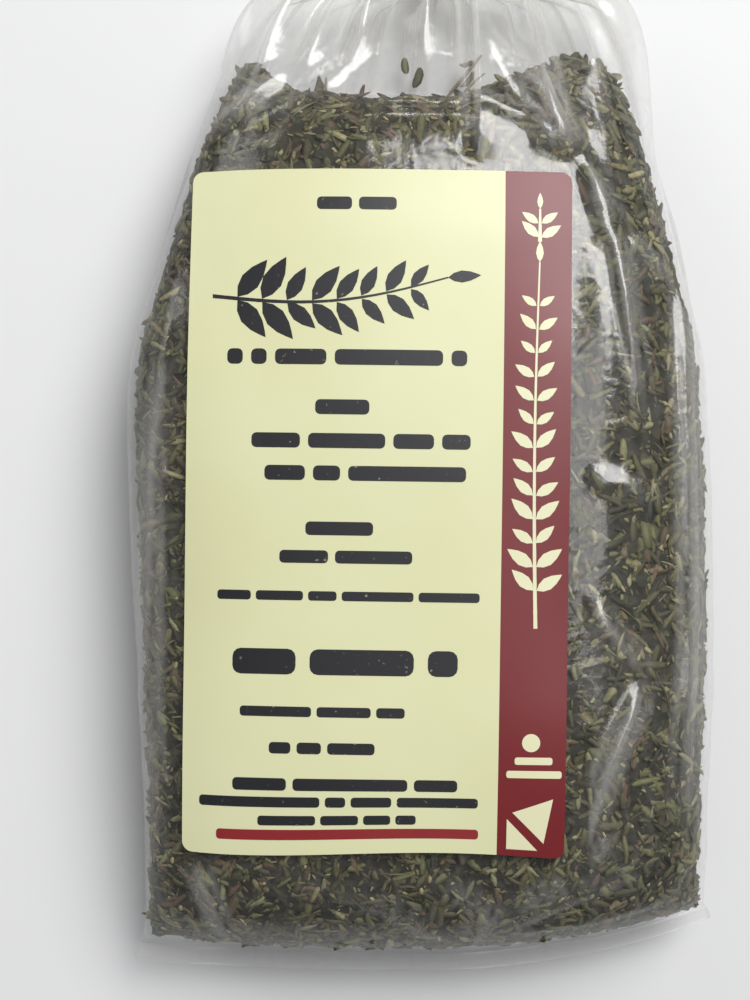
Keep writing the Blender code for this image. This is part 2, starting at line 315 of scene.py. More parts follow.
@dataclass(frozen=True)
class ClearFilm:
    """Cast polypropylene film, 30 microns: clear and glossy, milky where it is creased, with
    painted highlights and painted reflections laid on through its milky layer.
    """

    name: str = "clear_polypropylene_film"
    gloss: float = 0.032
    edge_gloss: float = 0.20
    roughness: float = 0.14
    base_haze: float = 0.004
    milk_and_sheen_gain: float = 0.5
    wrinkle_mm: float = 7.0

    def material(self) -> bpy.types.Material:
        """Build the material.

        Returns:
            A see-through material with a glossy skin and milkiness along its creases; the same
            milkiness also carries painted highlights on the folds and painted reflections down the
            sides.
        """
        material, tree, shader = new_material(self.name)
        place = add_node(tree, "ShaderNodeTexCoord").outputs["Object"]
        # Per-vertex milkiness of bends, weld and neck, plus painted highlights on fold crowns and
        # painted reflections down the sides.
        milk_and_sheen_read = add_node(tree, "ShaderNodeAttribute", attribute_name="haze_and_painted_sheen").outputs["Fac"]
        warp = add_node(
            tree, "ShaderNodeTexNoise", {"Vector": place, "Scale": 1 / (12 * MM), "Detail": 2.0}
        )
        bent = add_node(
            tree,
            "ShaderNodeVectorMath",
            {0: warp.outputs["Color"], 1: (3 * MM, 3 * MM, 3 * MM), 2: place},
            operation="MULTIPLY_ADD",
        )
        cracks = add_node(
            tree,
            "ShaderNodeTexVoronoi",
            {"Vector": bent.outputs[0], "Scale": 1 / (self.wrinkle_mm * MM)},
            feature="DISTANCE_TO_EDGE",
        )
        ridge = add_node(
            tree,
            "ShaderNodeMapRange",
            {"Value": cracks.outputs["Distance"], "From Max": 0.09, "To Min": 1.0, "To Max": 0.0},
        )
        fine = add_node(
            tree, "ShaderNodeTexNoise", {"Vector": place, "Scale": 1 / (1.4 * MM), "Detail": 3.0}
        )
        relief = add_node(
            tree,
            "ShaderNodeMath",
            {0: ridge.outputs["Result"], 1: 0.35, 2: fine.outputs["Fac"]},
            operation="MULTIPLY_ADD",
        )
        bump = add_node(
            tree,
            "ShaderNodeBump",
            {"Height": relief.outputs[0], "Strength": 0.35, "Distance": 0.12 * MM},
        )
        line_haze = add_node(
            tree, "ShaderNodeMath", {0: ridge.outputs["Result"], 1: 0.02}, operation="MULTIPLY"
        )
        haze_and_painted_sheen = add_node(
            tree,
            "ShaderNodeMath",
            {0: milk_and_sheen_read, 1: self.milk_and_sheen_gain, 2: line_haze.outputs[0]},
            operation="MULTIPLY_ADD",
            use_clamp=True,
        )
        haze_all = add_node(
            tree, "ShaderNodeMath", {0: haze_and_painted_sheen.outputs[0], 1: self.base_haze}, operation="ADD"
        )
        tree.nodes.remove(shader)
        clear = add_node(tree, "ShaderNodeBsdfTransparent", {"Color": (1.0, 1.0, 1.0, 1.0)})
        lit = add_node(tree, "ShaderNodeBsdfDiffuse", {"Color": linear("F1F0EC")})
        glow = add_node(tree, "ShaderNodeBsdfTranslucent", {"Color": linear("F1F0EC")})
        milk = add_node(
            tree, "ShaderNodeMixShader", {0: 0.4, 1: lit.outputs[0], 2: glow.outputs[0]}
        )
        body = add_node(
            tree,
            "ShaderNodeMixShader",
            {0: haze_all.outputs[0], 1: clear.outputs[0], 2: milk.outputs[0]},
        )
        gloss = add_node(
            tree,
            "ShaderNodeBsdfAnisotropic",
            {"Color": (1.0, 1.0, 1.0, 1.0), "Roughness": self.roughness,
             "Normal": bump.outputs["Normal"]},
        )
        facing = add_node(
            tree, "ShaderNodeLayerWeight", {"Blend": 0.5, "Normal": bump.outputs["Normal"]}
        )
        grazing = add_node(
            tree, "ShaderNodeMath", {0: facing.outputs["Facing"], 1: 4.0}, operation="POWER"
        )
        sheen = add_node(
            tree,
            "ShaderNodeMath",
            {0: grazing.outputs[0], 1: self.edge_gloss, 2: self.gloss},
            operation="MULTIPLY_ADD",
        )
        skin = add_node(
            tree,
            "ShaderNodeMixShader",
            {0: sheen.outputs[0], 1: body.outputs[0], 2: gloss.outputs[0]},
        )
        tree.links.new(skin.outputs[0], tree.nodes["Material Output"].inputs["Surface"])
        return material


@dataclass(frozen=True)
class StickerFace:
    """Coated label paper, printed and satin: faint fibres, a slight mottle and a soft gloss."""

    name: str
    colour: str
    faded: str
    roughness: float = 0.40
    coat: float = 0.16

    def material(self) -> bpy.types.Material:
        """Build the material.

        Returns:
            A satin paper material in the finish's colours.
        """
        material, tree, shader = new_material(self.name)
        place = add_node(tree, "ShaderNodeTexCoord").outputs["Object"]
        cloud = add_node(
            tree, "ShaderNodeTexNoise", {"Vector": place, "Scale": 1 / (22 * MM), "Detail": 5.0}
        )
        ramp = set_ramp(
            add_node(tree, "ShaderNodeValToRGB", {"Fac": cloud.outputs["Fac"]}),
            ((0.3, self.colour), (0.75, self.faded)),
        )
        tree.links.new(ramp.outputs["Color"], shader.inputs["Base Color"])
        fibres = add_node(
            tree, "ShaderNodeTexNoise", {"Vector": place, "Scale": 1 / (0.35 * MM), "Detail": 4.0}
        )
        bump = add_node(
            tree,
            "ShaderNodeBump",
            {"Height": fibres.outputs["Fac"], "Strength": 0.25, "Distance": 0.02 * MM},
        )
        tree.links.new(bump.outputs["Normal"], shader.inputs["Normal"])
        shader.inputs["Roughness"].default_value = self.roughness
        shader.inputs["Coat Weight"].default_value = self.coat
        shader.inputs["Coat Roughness"].default_value = 0.22
        return material


@dataclass(frozen=True)
class TransferInk:
    """Thermal-transfer ribbon ink: near black, satin, with small places where it missed."""

    name: str = "transfer_ink"
    ink: str = "222226"
    missed: str = "8F8E77"

    def material(self) -> bpy.types.Material:
        """Build the material.

        Returns:
            A near-black material with pinholes a few tenths of a millimetre wide.
        """
        material, tree, shader = new_material(self.name)
        place = add_node(tree, "ShaderNodeTexCoord").outputs["Object"]
        specks = add_node(
            tree, "ShaderNodeTexNoise", {"Vector": place, "Scale": 1 / (0.8 * MM), "Detail": 3.0}
        )
        ramp = set_ramp(
            add_node(tree, "ShaderNodeValToRGB", {"Fac": specks.outputs["Fac"]}),
            ((0.68, self.ink), (0.76, self.missed)),
        )
        tree.links.new(ramp.outputs["Color"], shader.inputs["Base Color"])
        shader.inputs["Roughness"].default_value = 0.42
        return material


@dataclass(frozen=True)
class TieRibbon:
    """Twist-tie ribbon: soft white plastic film over a wire, a little yellowed and scuffed."""

    name: str = "twist_tie_plastic"
    colour: str = "E9E6DA"
    scuffed: str = "C9C5B4"

    def material(self) -> bpy.types.Material:
        """Build the material.

        Returns:
            A soft white plastic material with faint scuffs.
        """
        material, tree, shader = new_material(self.name)
        place = add_node(tree, "ShaderNodeTexCoord").outputs["Object"]
        scuffs = add_node(
            tree, "ShaderNodeTexNoise", {"Vector": place, "Scale": 1 / (1.5 * MM), "Detail": 4.0}
        )
        ramp = set_ramp(
            add_node(tree, "ShaderNodeValToRGB", {"Fac": scuffs.outputs["Fac"]}),
            ((0.4, self.colour), (0.75, self.scuffed)),
        )
        tree.links.new(ramp.outputs["Color"], shader.inputs["Base Color"])
        shader.inputs["Roughness"].default_value = 0.38
        return material


@dataclass(frozen=True)
class TableTop:
    """Pale laminate under the bag."""

    name: str = "pale_table"
    colour: str = "EDEDED"

    def material(self) -> bpy.types.Material:
        """Build the material.

        Returns:
            A plain pale material.
        """
        material, _, shader = new_material(self.name)
        shader.inputs["Base Color"].default_value = linear(self.colour)
        shader.inputs["Roughness"].default_value = 0.55
        return material


# ---------------------------------------------------------------- the bag's form


@dataclass(frozen=True)
class Section:
    """One cross-section of the filled bag, in millimetres."""

    along: float
    centre: float
    half_width: float
    top: float
    bottom: float
    squareness: float


@dataclass
class BagForm:
    """The smooth form of the filled bag, section by section from the seam to the mouth.

    Attributes:
        sections: Cross-sections, with `along` counted from the seam's outer edge.
        perimeter: Girth of the film tube, which stays the same all along.
        corner_rise: How far the flat tube's corners are drawn up when it is filled.
        corner_reach: How far up the sides that rise fades out.
    """

    sections: tuple[Section, ...] = (
        Section(0.0, 0.0, 46.0, 8.75, 8.61, 2.0),
        Section(3.0, 0.0, 45.4, 8.8, 8.56, 2.0),
        Section(5.5, 0.0, 44.4, 17.0, 3.0, 2.4),
        Section(12.0, 0.0, 43.6, 25.0, -0.4, 2.7),
        Section(22.0, 0.0, 43.4, 29.4, -1.0, 2.9),
        Section(45.0, 0.0, 44.0, 31.0, -1.0, 3.0),
        Section(75.0, -0.6, 44.7, 31.0, -1.0, 3.0),
        Section(93.0, -1.2, 44.3, 30.8, -1.0, 3.0),
        Section(113.0, -0.8, 39.8, 30.0, -1.0, 2.9),
        Section(127.0, -0.4, 36.0, 28.2, -0.8, 2.7),
        Section(138.5, 0.4, 33.0, 24.8, 0.4, 2.5),
        Section(146.0, 0.8, 31.0, 21.4, 2.2, 2.3),
        Section(152.5, 1.4, 27.5, 18.4, 4.6, 2.1),
        Section(156.5, 2.4, 14.0, 16.4, 7.0, 2.0),
        Section(159.0, 3.0, 3.5, 15.6, 8.6, 2.0),
        Section(165.0, 3.0, 3.5, 15.6, 8.6, 2.0),
        Section(169.0, 2.8, 9.5, 15.0, 9.2, 2.0),
        Section(183.0, 2.0, 21.0, 14.0, 9.4, 2.0),
        Section(210.0, 1.0, 33.0, 13.4, 8.8, 2.0),
    )
    perimeter: float = 230.0
    corner_rise: float = 8.0
    corner_reach: float = 23.0
    film_wall: float = 0.06
    dense_steps: int = 720

    def value(self, along: float, name: str) -> float:
        """Read one section value anywhere along the bag, without overshoot.

        Args:
            along: Distance from the seam's edge.
            name: Field of Section.

        Returns:
            The smoothly interpolated value.
        """
        rows = self.sections
        along = min(max(along, rows[0].along), rows[-1].along)
        index = max(i for i, row in enumerate(rows[:-1]) if row.along <= along)
        start, end = rows[index], rows[index + 1]
        span = end.along - start.along
        t = (along - start.along) / span
        return (
            (1 + 2 * t) * (1 - t) ** 2 * getattr(start, name)
            + t * t * (3 - 2 * t) * getattr(end, name)
            + t * (1 - t) ** 2 * span * self.slope(index, name)
            + t * t * (t - 1) * span * self.slope(index + 1, name)
        )

    def slope(self, index: int, name: str) -> float:
        """Limit the slope of one value at a section.

        Args:
            index: Number of the section.
            name: Field of Section.

        Returns:
            The harmonic mean of the slopes on both sides, or 0 at a turning point.
        """
        if index in (0, len(self.sections) - 1):
            return 0.0
        before, here, after = self.sections[index - 1:index + 2]
        rise_in = (getattr(here, name) - getattr(before, name)) / (here.along - before.along)
        rise_out = (getattr(after, name) - getattr(here, name)) / (after.along - here.along)
        if rise_in * rise_out <= 0:
            return 0.0
        return 2 * rise_in * rise_out / (rise_in + rise_out)

    def ring(self, along: float, count: int, inset: float = 0.0) -> np.ndarray:
        """Points round the bag, evenly spaced along the film from its right-hand side.

        Args:
            along: Distance from the seam's edge.
            count: Number of points.
            inset: Distance inwards from the film.

        Returns:
            One row of x, y and z for each point.
        """
        half_width = self.value(along, "half_width") - inset
        top, bottom = self.value(along, "top"), self.value(along, "bottom")
        half_height = max((top - bottom) / 2 - inset, 0.02)
        power = 2 / self.value(along, "squareness")
        angle = np.linspace(0, 2 * np.pi, self.dense_steps + 1)
        cos, sin = np.cos(angle), np.sin(angle)
        x = self.value(along, "centre") + half_width * np.sign(cos) * np.abs(cos) ** power
        z = (top + bottom) / 2 + half_height * np.sign(sin) * np.abs(sin) ** power
        z = np.maximum(z, inset)
        steps = np.hypot(np.diff(x), np.diff(z))
        run = np.concatenate([[0.0], np.cumsum(steps)])
        even = np.linspace(0, run[-1], count, endpoint=False)
        x_even, z_even = np.interp(even, run, x), np.interp(even, run, z)
        nearness = max(0.0, 1 - along / self.corner_reach)
        rise = nearness * self.corner_lift(x_even)
        y_even = SEAM_Y + along + rise
        return np.stack([x_even, y_even, z_even], axis=1)

    def corner_lift(self, x: np.ndarray) -> np.ndarray:
        """How far the seam is drawn up towards the mouth, across the bag.

        Args:
            x: Places across the bag.

        Returns:
            Distances: most at the right corner, little at the left one.
        """
        reach = np.abs(x) / self.sections[0].half_width
        return self.corner_rise * np.where(x > 0, reach ** 2, 0.25 * reach ** 3)

    def front_height(self, x: np.ndarray, y: float) -> np.ndarray:
        """Height of the film's front over some spots at one distance along the bag.

        Args:
            x: Places across the bag.
            y: Place along the bag, in the frame's millimetres.

        Returns:
            Heights, running straight on past the turn of the film, as a stiff sticker does.
        """
        along = y - SEAM_Y
        half_width = self.value(along, "half_width")
        top, bottom = self.value(along, "top"), self.value(along, "bottom")
        square = self.value(along, "squareness")
        centre, held = self.value(along, "centre"), 0.8 * half_width

        def height(offset: np.ndarray) -> np.ndarray:
            """Height of the curved film at a distance from the bag's middle."""
            reach = np.clip(np.abs(offset) / half_width, 0, 1)
            rise = (1 - reach ** square) ** (1 / square)
            return (top + bottom) / 2 + (top - bottom) / 2 * rise

        offset = np.asarray(x, float) - centre
        spot = np.clip(offset, -held, held)
        slope = height(spot) - height(spot - np.sign(offset))
        return height(spot) + slope * np.abs(offset - spot)


# ---------------------------------------------------------------- crumpling


@dataclass
class Crumple:
    """Faceted relief of a creased film: random heights joined by flat triangles.

    Attributes:
        spacing: Usual width of a facet across the film, in millimetres.
        height: Largest height.
        stretch: How much longer the facets are along the bag than across it.
        seed: Seed of its random numbers.
    """

    spacing: float
    height: float
    stretch: float
    seed: int

    def relief(self, across: np.ndarray, along: np.ndarray, girth: float) -> np.ndarray:
        """Heights on a grid of film places.

        Args:
            across: Places round the film, evenly spaced.
            along: Places along the film, one for each row, increasing.
            girth: Length of the film round the bag, after which the relief repeats.

        Returns:
            One row of heights for each place along the film.
        """
        chooser = np.random.default_rng(self.seed)
        length = along[-1] - along[0]
        step_v = self.spacing * self.stretch
        columns = max(int(girth / self.spacing), 3)
        rows = int(length / step_v) + 5
        u, v = np.meshgrid(np.arange(columns) / columns * girth,
                           along[0] + (np.arange(rows) - 2) * step_v)
        u = (u + chooser.uniform(-0.42, 0.42, u.shape) * self.spacing) % girth
        v = v + chooser.uniform(-0.42, 0.42, v.shape) * step_v
        heights = chooser.random(u.shape) ** 1.3 * self.height
        u, v, heights = u.ravel(), v.ravel(), heights.ravel()
        margin = 2.2 * self.spacing
        left, right = u < margin, u > girth - margin
        u = np.concatenate([u, u[left] + girth, u[right] - girth])
        v = np.concatenate([v, v[left], v[right]])
        heights = np.concatenate([heights, heights[left], heights[right]])
        spots = [Vector((a, b / self.stretch)) for a, b in zip(u, v)]
        found = geometry.delaunay_2d_cdt(spots, [], [], 0, 1e-4)
        order = [source[0] for source in found[3]]
        places = np.array([[spot.x, spot.y * self.stretch] for spot in found[0]])
        levels = heights[order]
        relief = np.zeros((len(along), len(across)))
        for triangle in found[2]:
            corner = places[list(triangle)]
            first, last = np.searchsorted(along, [corner[:, 1].min(), corner[:, 1].max()])
            near, far = np.searchsorted(across, [corner[:, 0].min(), corner[:, 0].max()])
            if first == last or near == far:
                continue
            edge_a, edge_b = corner[1] - corner[0], corner[2] - corner[0]
            area = edge_a[0] * edge_b[1] - edge_a[1] * edge_b[0]
            if abs(area) < 1e-9:
                continue
            du = across[None, near:far] - corner[0, 0]
            dv = along[first:last, None] - corner[0, 1]
            b = (du * edge_b[1] - dv * edge_b[0]) / area
            c = (dv * edge_a[0] - du * edge_a[1]) / area
            inside = (b >= -1e-9) & (c >= -1e-9) & (b + c <= 1 + 1e-9)
            level = levels[list(triangle)]
            plane = level[0] + b * (level[1] - level[0]) + c * (level[2] - level[0])
            relief[first:last, near:far][inside] = plane[inside]
        return relief


@dataclass(frozen=True)
class Ridge:
    """One sharp fold standing up from the film's front, along a chain of points."""

    points: tuple[tuple[float, float], ...]
    height: float
    width: float

    def relief(self, x: np.ndarray, y: np.ndarray) -> np.ndarray:
        """Height of the fold over the given places.

        Args:
            x: Places across the bag.
            y: Places along the bag.

        Returns:
            Heights: a tent along the chain that dies away at both ends.
        """
        best = np.zeros_like(x)
        chain = np.asarray(self.points, float)
        spans = np.hypot(*np.diff(chain, axis=0).T)
        run = np.concatenate([[0.0], np.cumsum(spans)])
        for start, end, begun, span in zip(chain, chain[1:], run, spans):
            way = (end - start) / span
            part = np.clip((x - start[0]) * way[0] + (y - start[1]) * way[1], 0, span)
            away = np.hypot(x - start[0] - part * way[0], y - start[1] - part * way[1])
            place = (begun + part) / run[-1]
            taper = np.minimum(1.0, 4.5 * np.minimum(place, 1 - place) + 0.05)
            crown = 0.5 + 0.5 * np.cos(np.pi * np.clip(away / self.width, 0, 1))
            best = np.maximum(best, self.height * taper * crown)
        return best


class Stretch(Enum):
    """The two pieces that the film is drawn as; they meet inside the closure."""

    BODY = "body"
    RUFFLE = "ruffle"


@dataclass
class FilmBag:
    """The clear bag: welded seam, creased body, pleated neck and ruffled mouth."""

    form: BagForm
    seed: int = 7
    around: int = 320
    seam_width: float = 3.0
    cavity_start: float = 3.9
    neck_middle: float = 162.0
    neck_radius: float = 3.3
    neck_pleats: int = 40
    neck_pleat_depth: float = 2.3
    pleat_count: int = 34
    front_limit: float = 0.1
    pressed_flat: float = 0.35
    table_gap: float = 0.02
    milky_bend: float = 0.22
    # Fold height at which the fold crown's milkiness and painted highlight are full.
    fold_highlight_height: float = 1.3
    # Where the painted reflection down each side starts, and how strong it is on the left.
    reflection_band: tuple[float, float] = (36.5, 40.5)
    left_reflection_share: float = 0.55
    length: float = 210.0
    crumples: tuple[Crumple, ...] = (
        Crumple(spacing=14.0, height=0.60, stretch=2.0, seed=11),
        Crumple(spacing=5.5, height=0.22, stretch=1.6, seed=12),
        Crumple(spacing=2.4, height=0.07, stretch=1.3, seed=13),
    )
    ridges: tuple[Ridge, ...] = (
        Ridge(((-10, 47), (-20, 36), (-34, 24)), 1.3, 2.4),
        Ridge(((-4, 45), (-15, 33), (-27, 26)), 0.8, 2.0),
        Ridge(((6, 45), (17, 32), (25, 16), (29, 8)), 1.7, 3.0),
        Ridge(((-31, 31), (-12, 30), (9, 29.5), (16, 27), (22, 20), (28, 8), (33, -20)), 1.0, 2.0),
        Ridge(((23, 10), (30, 9), (36, 2)), 0.8, 2.0),
        Ridge(((22, -26), (29, -28), (34, -30)), 0.8, 2.0),
        Ridge(((23, -44), (29, -52), (33, -56)), 0.9, 2.2),
        Ridge(((33, -56), (27, -69), (24, -78), (21, -90)), 1.4, 2.2),
        Ridge(((11, -94), (20, -87), (29, -80)), 1.0, 1.9),
        Ridge(((12, -95), (22, -89), (34, -84)), 0.8, 1.8),
        Ridge(((12, -96), (26, -93), (38, -90)), 0.8, 1.8),
        Ridge(((-36, -82), (-33, -90), (-30, -98)), 1.0, 2.0),
        Ridge(((-22, -86), (-8, -90), (4, -97)), 0.8, 2.0),
        Ridge(((2, -86), (9, -92), (7, -99)), 0.8, 2.0),
        Ridge(((37, 22), (39, -10), (40, -50), (38, -80)), 1.1, 2.2),
        Ridge(((-37, 6), (-41, -25), (-42, -60), (-39, -86)), 1.0, 2.2),
    )
    label_box: tuple[float, float, float, float] = (0.0, 0.0, 0.0, 0.0)

    def rows(self, stretch: Stretch) -> np.ndarray:
        """Distances along the bag at which the film gets a ring.

        Args:
            stretch: Which piece of the film.

        Returns:
            Increasing distances from the seam's edge.
        """
        if stretch is Stretch.RUFFLE:
            return np.concatenate([
                np.linspace(self.neck_middle, 169.0, 12), np.linspace(170.0, self.length, 42)
            ])
        return np.concatenate([
            np.linspace(0.0, self.seam_width, 8),
            np.linspace(3.45, 12.0, 16),
            np.linspace(13.3, 130.0, 84),
            np.linspace(131.0, 158.5, 34),
            np.linspace(159.2, self.neck_middle, 5),
        ])

    def pleats(self, across: np.ndarray, along: np.ndarray) -> np.ndarray:
        """Folds that run down from the neck and fade out at different lengths.

        Args:
            across: Places round the film.
            along: Distances from the seam's edge.

        Returns:
            Heights, one row for each distance along the bag.
        """
        chooser = np.random.default_rng(self.seed)
        girth = self.form.perimeter
        widths = chooser.uniform(0.45, 1.8, self.pleat_count)
        nodes = np.cumsum(widths) / widths.sum() * girth
        starts = chooser.uniform(96, 146, self.pleat_count)
        crests = np.arange(self.pleat_count) % 2
        depths = chooser.uniform(0.45, 1.0, self.pleat_count) * crests
        crown = np.interp(across, nodes, crests * 1.0, period=girth)
        rounding = 0.5 + 0.5 * crown * (2 - crown)
        heights = []
        for distance in along:
            grown = np.array([float(smoothstep(distance, start, 158.0)) for start in starts])
            room = 0.8 + 3.5 * float(smoothstep(distance, 120.0, 150.0))
            level = grown ** 0.7 * depths * room
            heights.append(np.interp(across, nodes, level, period=girth) * rounding)
        return np.array(heights)

    def neck_ring(self, along: float) -> np.ndarray:
        """Points round the gathered neck: the film folded to and fro into a tight star.

        Args:
            along: Distance from the seam's edge.

        Returns:
            One row of x, y and z for each point.
        """
        turn = np.arange(self.around) / self.around * 2 * np.pi
        beat = (turn * self.neck_pleats / (2 * np.pi)) % 1.0
        zigzag = np.abs(2 * beat - 1)
        uneven = 0.75 + 0.25 * np.sin(turn * 7 + 1.0)
        radius = self.neck_radius - self.neck_pleat_depth * zigzag * uneven
        centre = self.form.value(along, "centre")
        middle = (self.form.value(along, "top") + self.form.value(along, "bottom")) / 2
        return np.stack([
            centre + radius * np.cos(turn),
            np.full_like(turn, SEAM_Y + along),
            middle + radius * np.sin(turn),
        ], axis=1)

    def ruffle_wave(self, x: np.ndarray, along: float) -> np.ndarray:
        """Height of the waves that both layers of the mouth share.

        Args:
            x: Places across the bag.
            along: Distance from the seam's edge.

        Returns:
            Heights of the waves, which grow towards the mouth.
        """
        grown = float(smoothstep(along, 164.0, 188.0))
        half_width = self.form.value(along, "half_width")
        across = np.asarray(x) / half_width
        folds = np.interp(
            across,
            (-1.0, -0.80, -0.62, -0.40, -0.23, -0.02, 0.16, 0.37, 0.52, 0.74, 0.88, 1.0),
            (0.2, 0.9, -0.8, 0.7, -0.9, 1.0, -0.5, 0.9, -0.8, 0.6, -0.4, 0.3),
        )
        sway = np.sin(across * 2.2 + 0.6) * 0.35
        return grown * (folds + sway) * (1.2 + 2.6 * (along - 160) / 50)

    def fold_heights(self, base: np.ndarray, front: np.ndarray) -> np.ndarray:
        """Heights of the listed folds on the front.

        Args:
            base: Grid of film places.
            front: Which of them face up.

        Returns:
            One height for each place.
        """
        folds = np.zeros(base.shape[:2])
        for ridge in self.ridges:
            folds = np.maximum(folds, ridge.relief(base[:, :, 0], base[:, :, 1]))
        return folds * front

    def relief(self, base: np.ndarray, normals: np.ndarray, along: np.ndarray,
               folds: np.ndarray) -> np.ndarray:
        """Heights of crumples, folds and pleats, which never turn into the contents.

        Args:
            base: Grid of film places.
            normals: Outward normals there.
            along: Distance of each row from the seam's edge.
            folds: Heights of the listed folds.

        Returns:
            One height for each place, 0 at the weld and under the sticker.
        """
        across = np.arange(self.around) / self.around * self.form.perimeter
        relief = np.zeros(base.shape[:2])
        for crumple in self.crumples:
            relief += crumple.relief(across, along, self.form.perimeter)
        relief += folds
        relief *= 1 - 0.6 * smoothstep(along, 132, 152)[:, None]
        relief += self.pleats(across, along)
        free = smoothstep(along, self.seam_width, 10.0)[:, None]
        free = free * self.off_label(base, normals[:, :, 2] > self.front_limit)
        underside = (normals[:, :, 2] < -0.2) & (base[:, :, 2] < 3.0)
        return relief * free * np.where(underside, self.pressed_flat, 1.0)

    def haze_and_painted_sheen(self, base: np.ndarray, front: np.ndarray, along: np.ndarray,
             relief: np.ndarray, folds: np.ndarray) -> np.ndarray:
        """How milky the film is at bends, the weld and the neck, with a painted highlight on the
        fold crowns and a painted reflection down both sides.

        Args:
            base: Grid of film places.
            front: Which of them face up.
            along: Distance of each row from the seam's edge.
            relief: Height of the film there.
            folds: Heights of the listed folds.

        Returns:
            One value for each place.
        """
        bend = np.abs(np.gradient(np.gradient(relief, axis=1), axis=1))
        near_neck = smoothstep(along, 122, 148)[:, None]
        haze_and_painted_sheen = np.clip(bend / self.milky_bend, 0, 1) * (0.28 + 0.30 * near_neck)
        # Fold crowns: partly the milkiness of a hard crease, partly a painted highlight standing in
        # for the glint along each fold.
        haze_and_painted_sheen += np.clip(folds / self.fold_highlight_height, 0, 1) ** 3 * 0.16
        haze_and_painted_sheen += 0.16 * smoothstep(along, 132, 158)[:, None]
        haze_and_painted_sheen += 0.22 * (along < self.seam_width)[:, None]
        # Painted reflection: a pale streaked band down each side of the filled front, where the
        # film turns down and mirrors the room; weaker on the left.
        side = smoothstep(np.abs(base[:, :, 0]), *self.reflection_band) * front
        side *= np.where(base[:, :, 0] > 0, 1.0, self.left_reflection_share)
        streaks = 0.62 + 0.38 * np.sin(base[:, :, 0] * 2.9 + np.sin(along / 13.0)[:, None])
        filled = smoothstep(along, 12, 30) * (1 - smoothstep(along, 112, 132))
        haze_and_painted_sheen += 0.19 * side * streaks * filled[:, None]
        return haze_and_painted_sheen * np.where(self.off_label(base, front) < 0.5, 0.2, 1.0)

    def grid(self, stretch: Stretch) -> tuple[np.ndarray, np.ndarray]:
        """Places of the film's outer face, and how milky it is there.

        Args:
            stretch: Which piece of the film.

        Returns:
            Points as rows of rings, and for each point its milkiness with the painted highlights
            and reflections.
        """
        along = self.rows(stretch)
        base = np.array([self.form.ring(distance, self.around) for distance in along])
        normals = grid_normals(base)
        front = normals[:, :, 2] > self.front_limit
        folds = self.fold_heights(base, front)
        relief = self.relief(base, normals, along, folds)
        if stretch is Stretch.BODY:
            points = base + normals * relief[:, :, None]
            points[:, :, 2] = np.maximum(points[:, :, 2], self.table_gap)
        else:
            points = base + normals * (relief * 0.5)[:, :, None]
        for row, distance in enumerate(along):
            gathered = float(smoothstep(distance, 153.5, 159.0)
                             * (1 - smoothstep(distance, 164.5, 172.0)))
            if gathered > 0:
                points[row] += (self.neck_ring(distance) - points[row]) * gathered
            if stretch is Stretch.RUFFLE:
                points[row, :, 2] += self.ruffle_wave(points[row, :, 0], distance)
        if stretch is Stretch.BODY:
            self.crimp_seam(points, along)
        return points, self.haze_and_painted_sheen(base, front, along, relief, folds)

    def off_label(self, base: np.ndarray, front: np.ndarray) -> np.ndarray:
        """How free the film is: 0 where the sticker holds it flat, 1 away from it.

        Args:
            base: Grid of film places.
            front: Which of them face up.

        Returns:
            Values from 0 to 1.
        """
        left, right, low, high = self.label_box
        out_x = np.maximum(left - base[:, :, 0], base[:, :, 0] - right)
        out_y = np.maximum(low - base[:, :, 1], base[:, :, 1] - high)
        return np.where(front, smoothstep(np.maximum(out_x, out_y), 0.3, 6.0), 1.0)

    def crimp_seam(self, points: np.ndarray, along: np.ndarray) -> None:
        """Give the weld its fine ribs and a slight wave, in place.

        Args:
            points: Grid of film places.
            along: Distance of each row from the seam's edge.
        """
        for row, distance in enumerate(along):
            part = 1 - float(smoothstep(distance, 1.5, 9.0))
            x = points[row, :, 0]
            wave = 0.9 * np.sin(x / 9.0 + 0.8) + 0.5 * np.sin(x / 3.7)
            corner = np.clip((np.abs(x) - 36) / 10, 0, 1) ** 2
            ribs = 0.05 * (row % 2) * (distance < self.seam_width)
            points[row, :, 2] += part * (wave * (0.35 + corner) - 1.5 * corner) + ribs

    def build(self, stretch: Stretch) -> bpy.types.Object:
        """Build one piece of the film as a closed thin wall.

        Args:
            stretch: Which piece of the film.

        Returns:
            The film piece.
        """
        outer, haze_and_painted_sheen = self.grid(stretch)
        along = self.rows(stretch)
        first = int(np.argmax(along > self.cavity_start)) if stretch is Stretch.BODY else 0
        inner = (outer - grid_normals(outer) * self.form.film_wall)[first:]
        count = self.around
        rows_out, rows_in = len(outer), len(inner)
        shift = rows_out * count
        faces: list[tuple[int, ...]] = []
        for row in range(rows_out - 1):
            faces += ring_strip(row * count, (row + 1) * count, count, flip=False)
        for row in range(rows_in - 1):
            start = shift + row * count
            faces += ring_strip(start, start + count, count, flip=True)
        last_out, last_in = (rows_out - 1) * count, shift + (rows_in - 1) * count
        faces += ring_strip(last_out, last_in, count, flip=False)
        if stretch is Stretch.BODY:
            faces += flat_cap(0, count, flip=False)
            faces += flat_cap(shift, count, flip=True)
        else:
            faces += ring_strip(shift, 0, count, flip=False)
        points = np.concatenate([outer.reshape(-1, 3), inner.reshape(-1, 3)])
        piece = new_piece(f"film_{stretch.value}", points, faces)
        add_attribute(piece, "haze_and_painted_sheen", np.concatenate([haze_and_painted_sheen.ravel(), haze_and_painted_sheen[first:].ravel()]))
        return piece


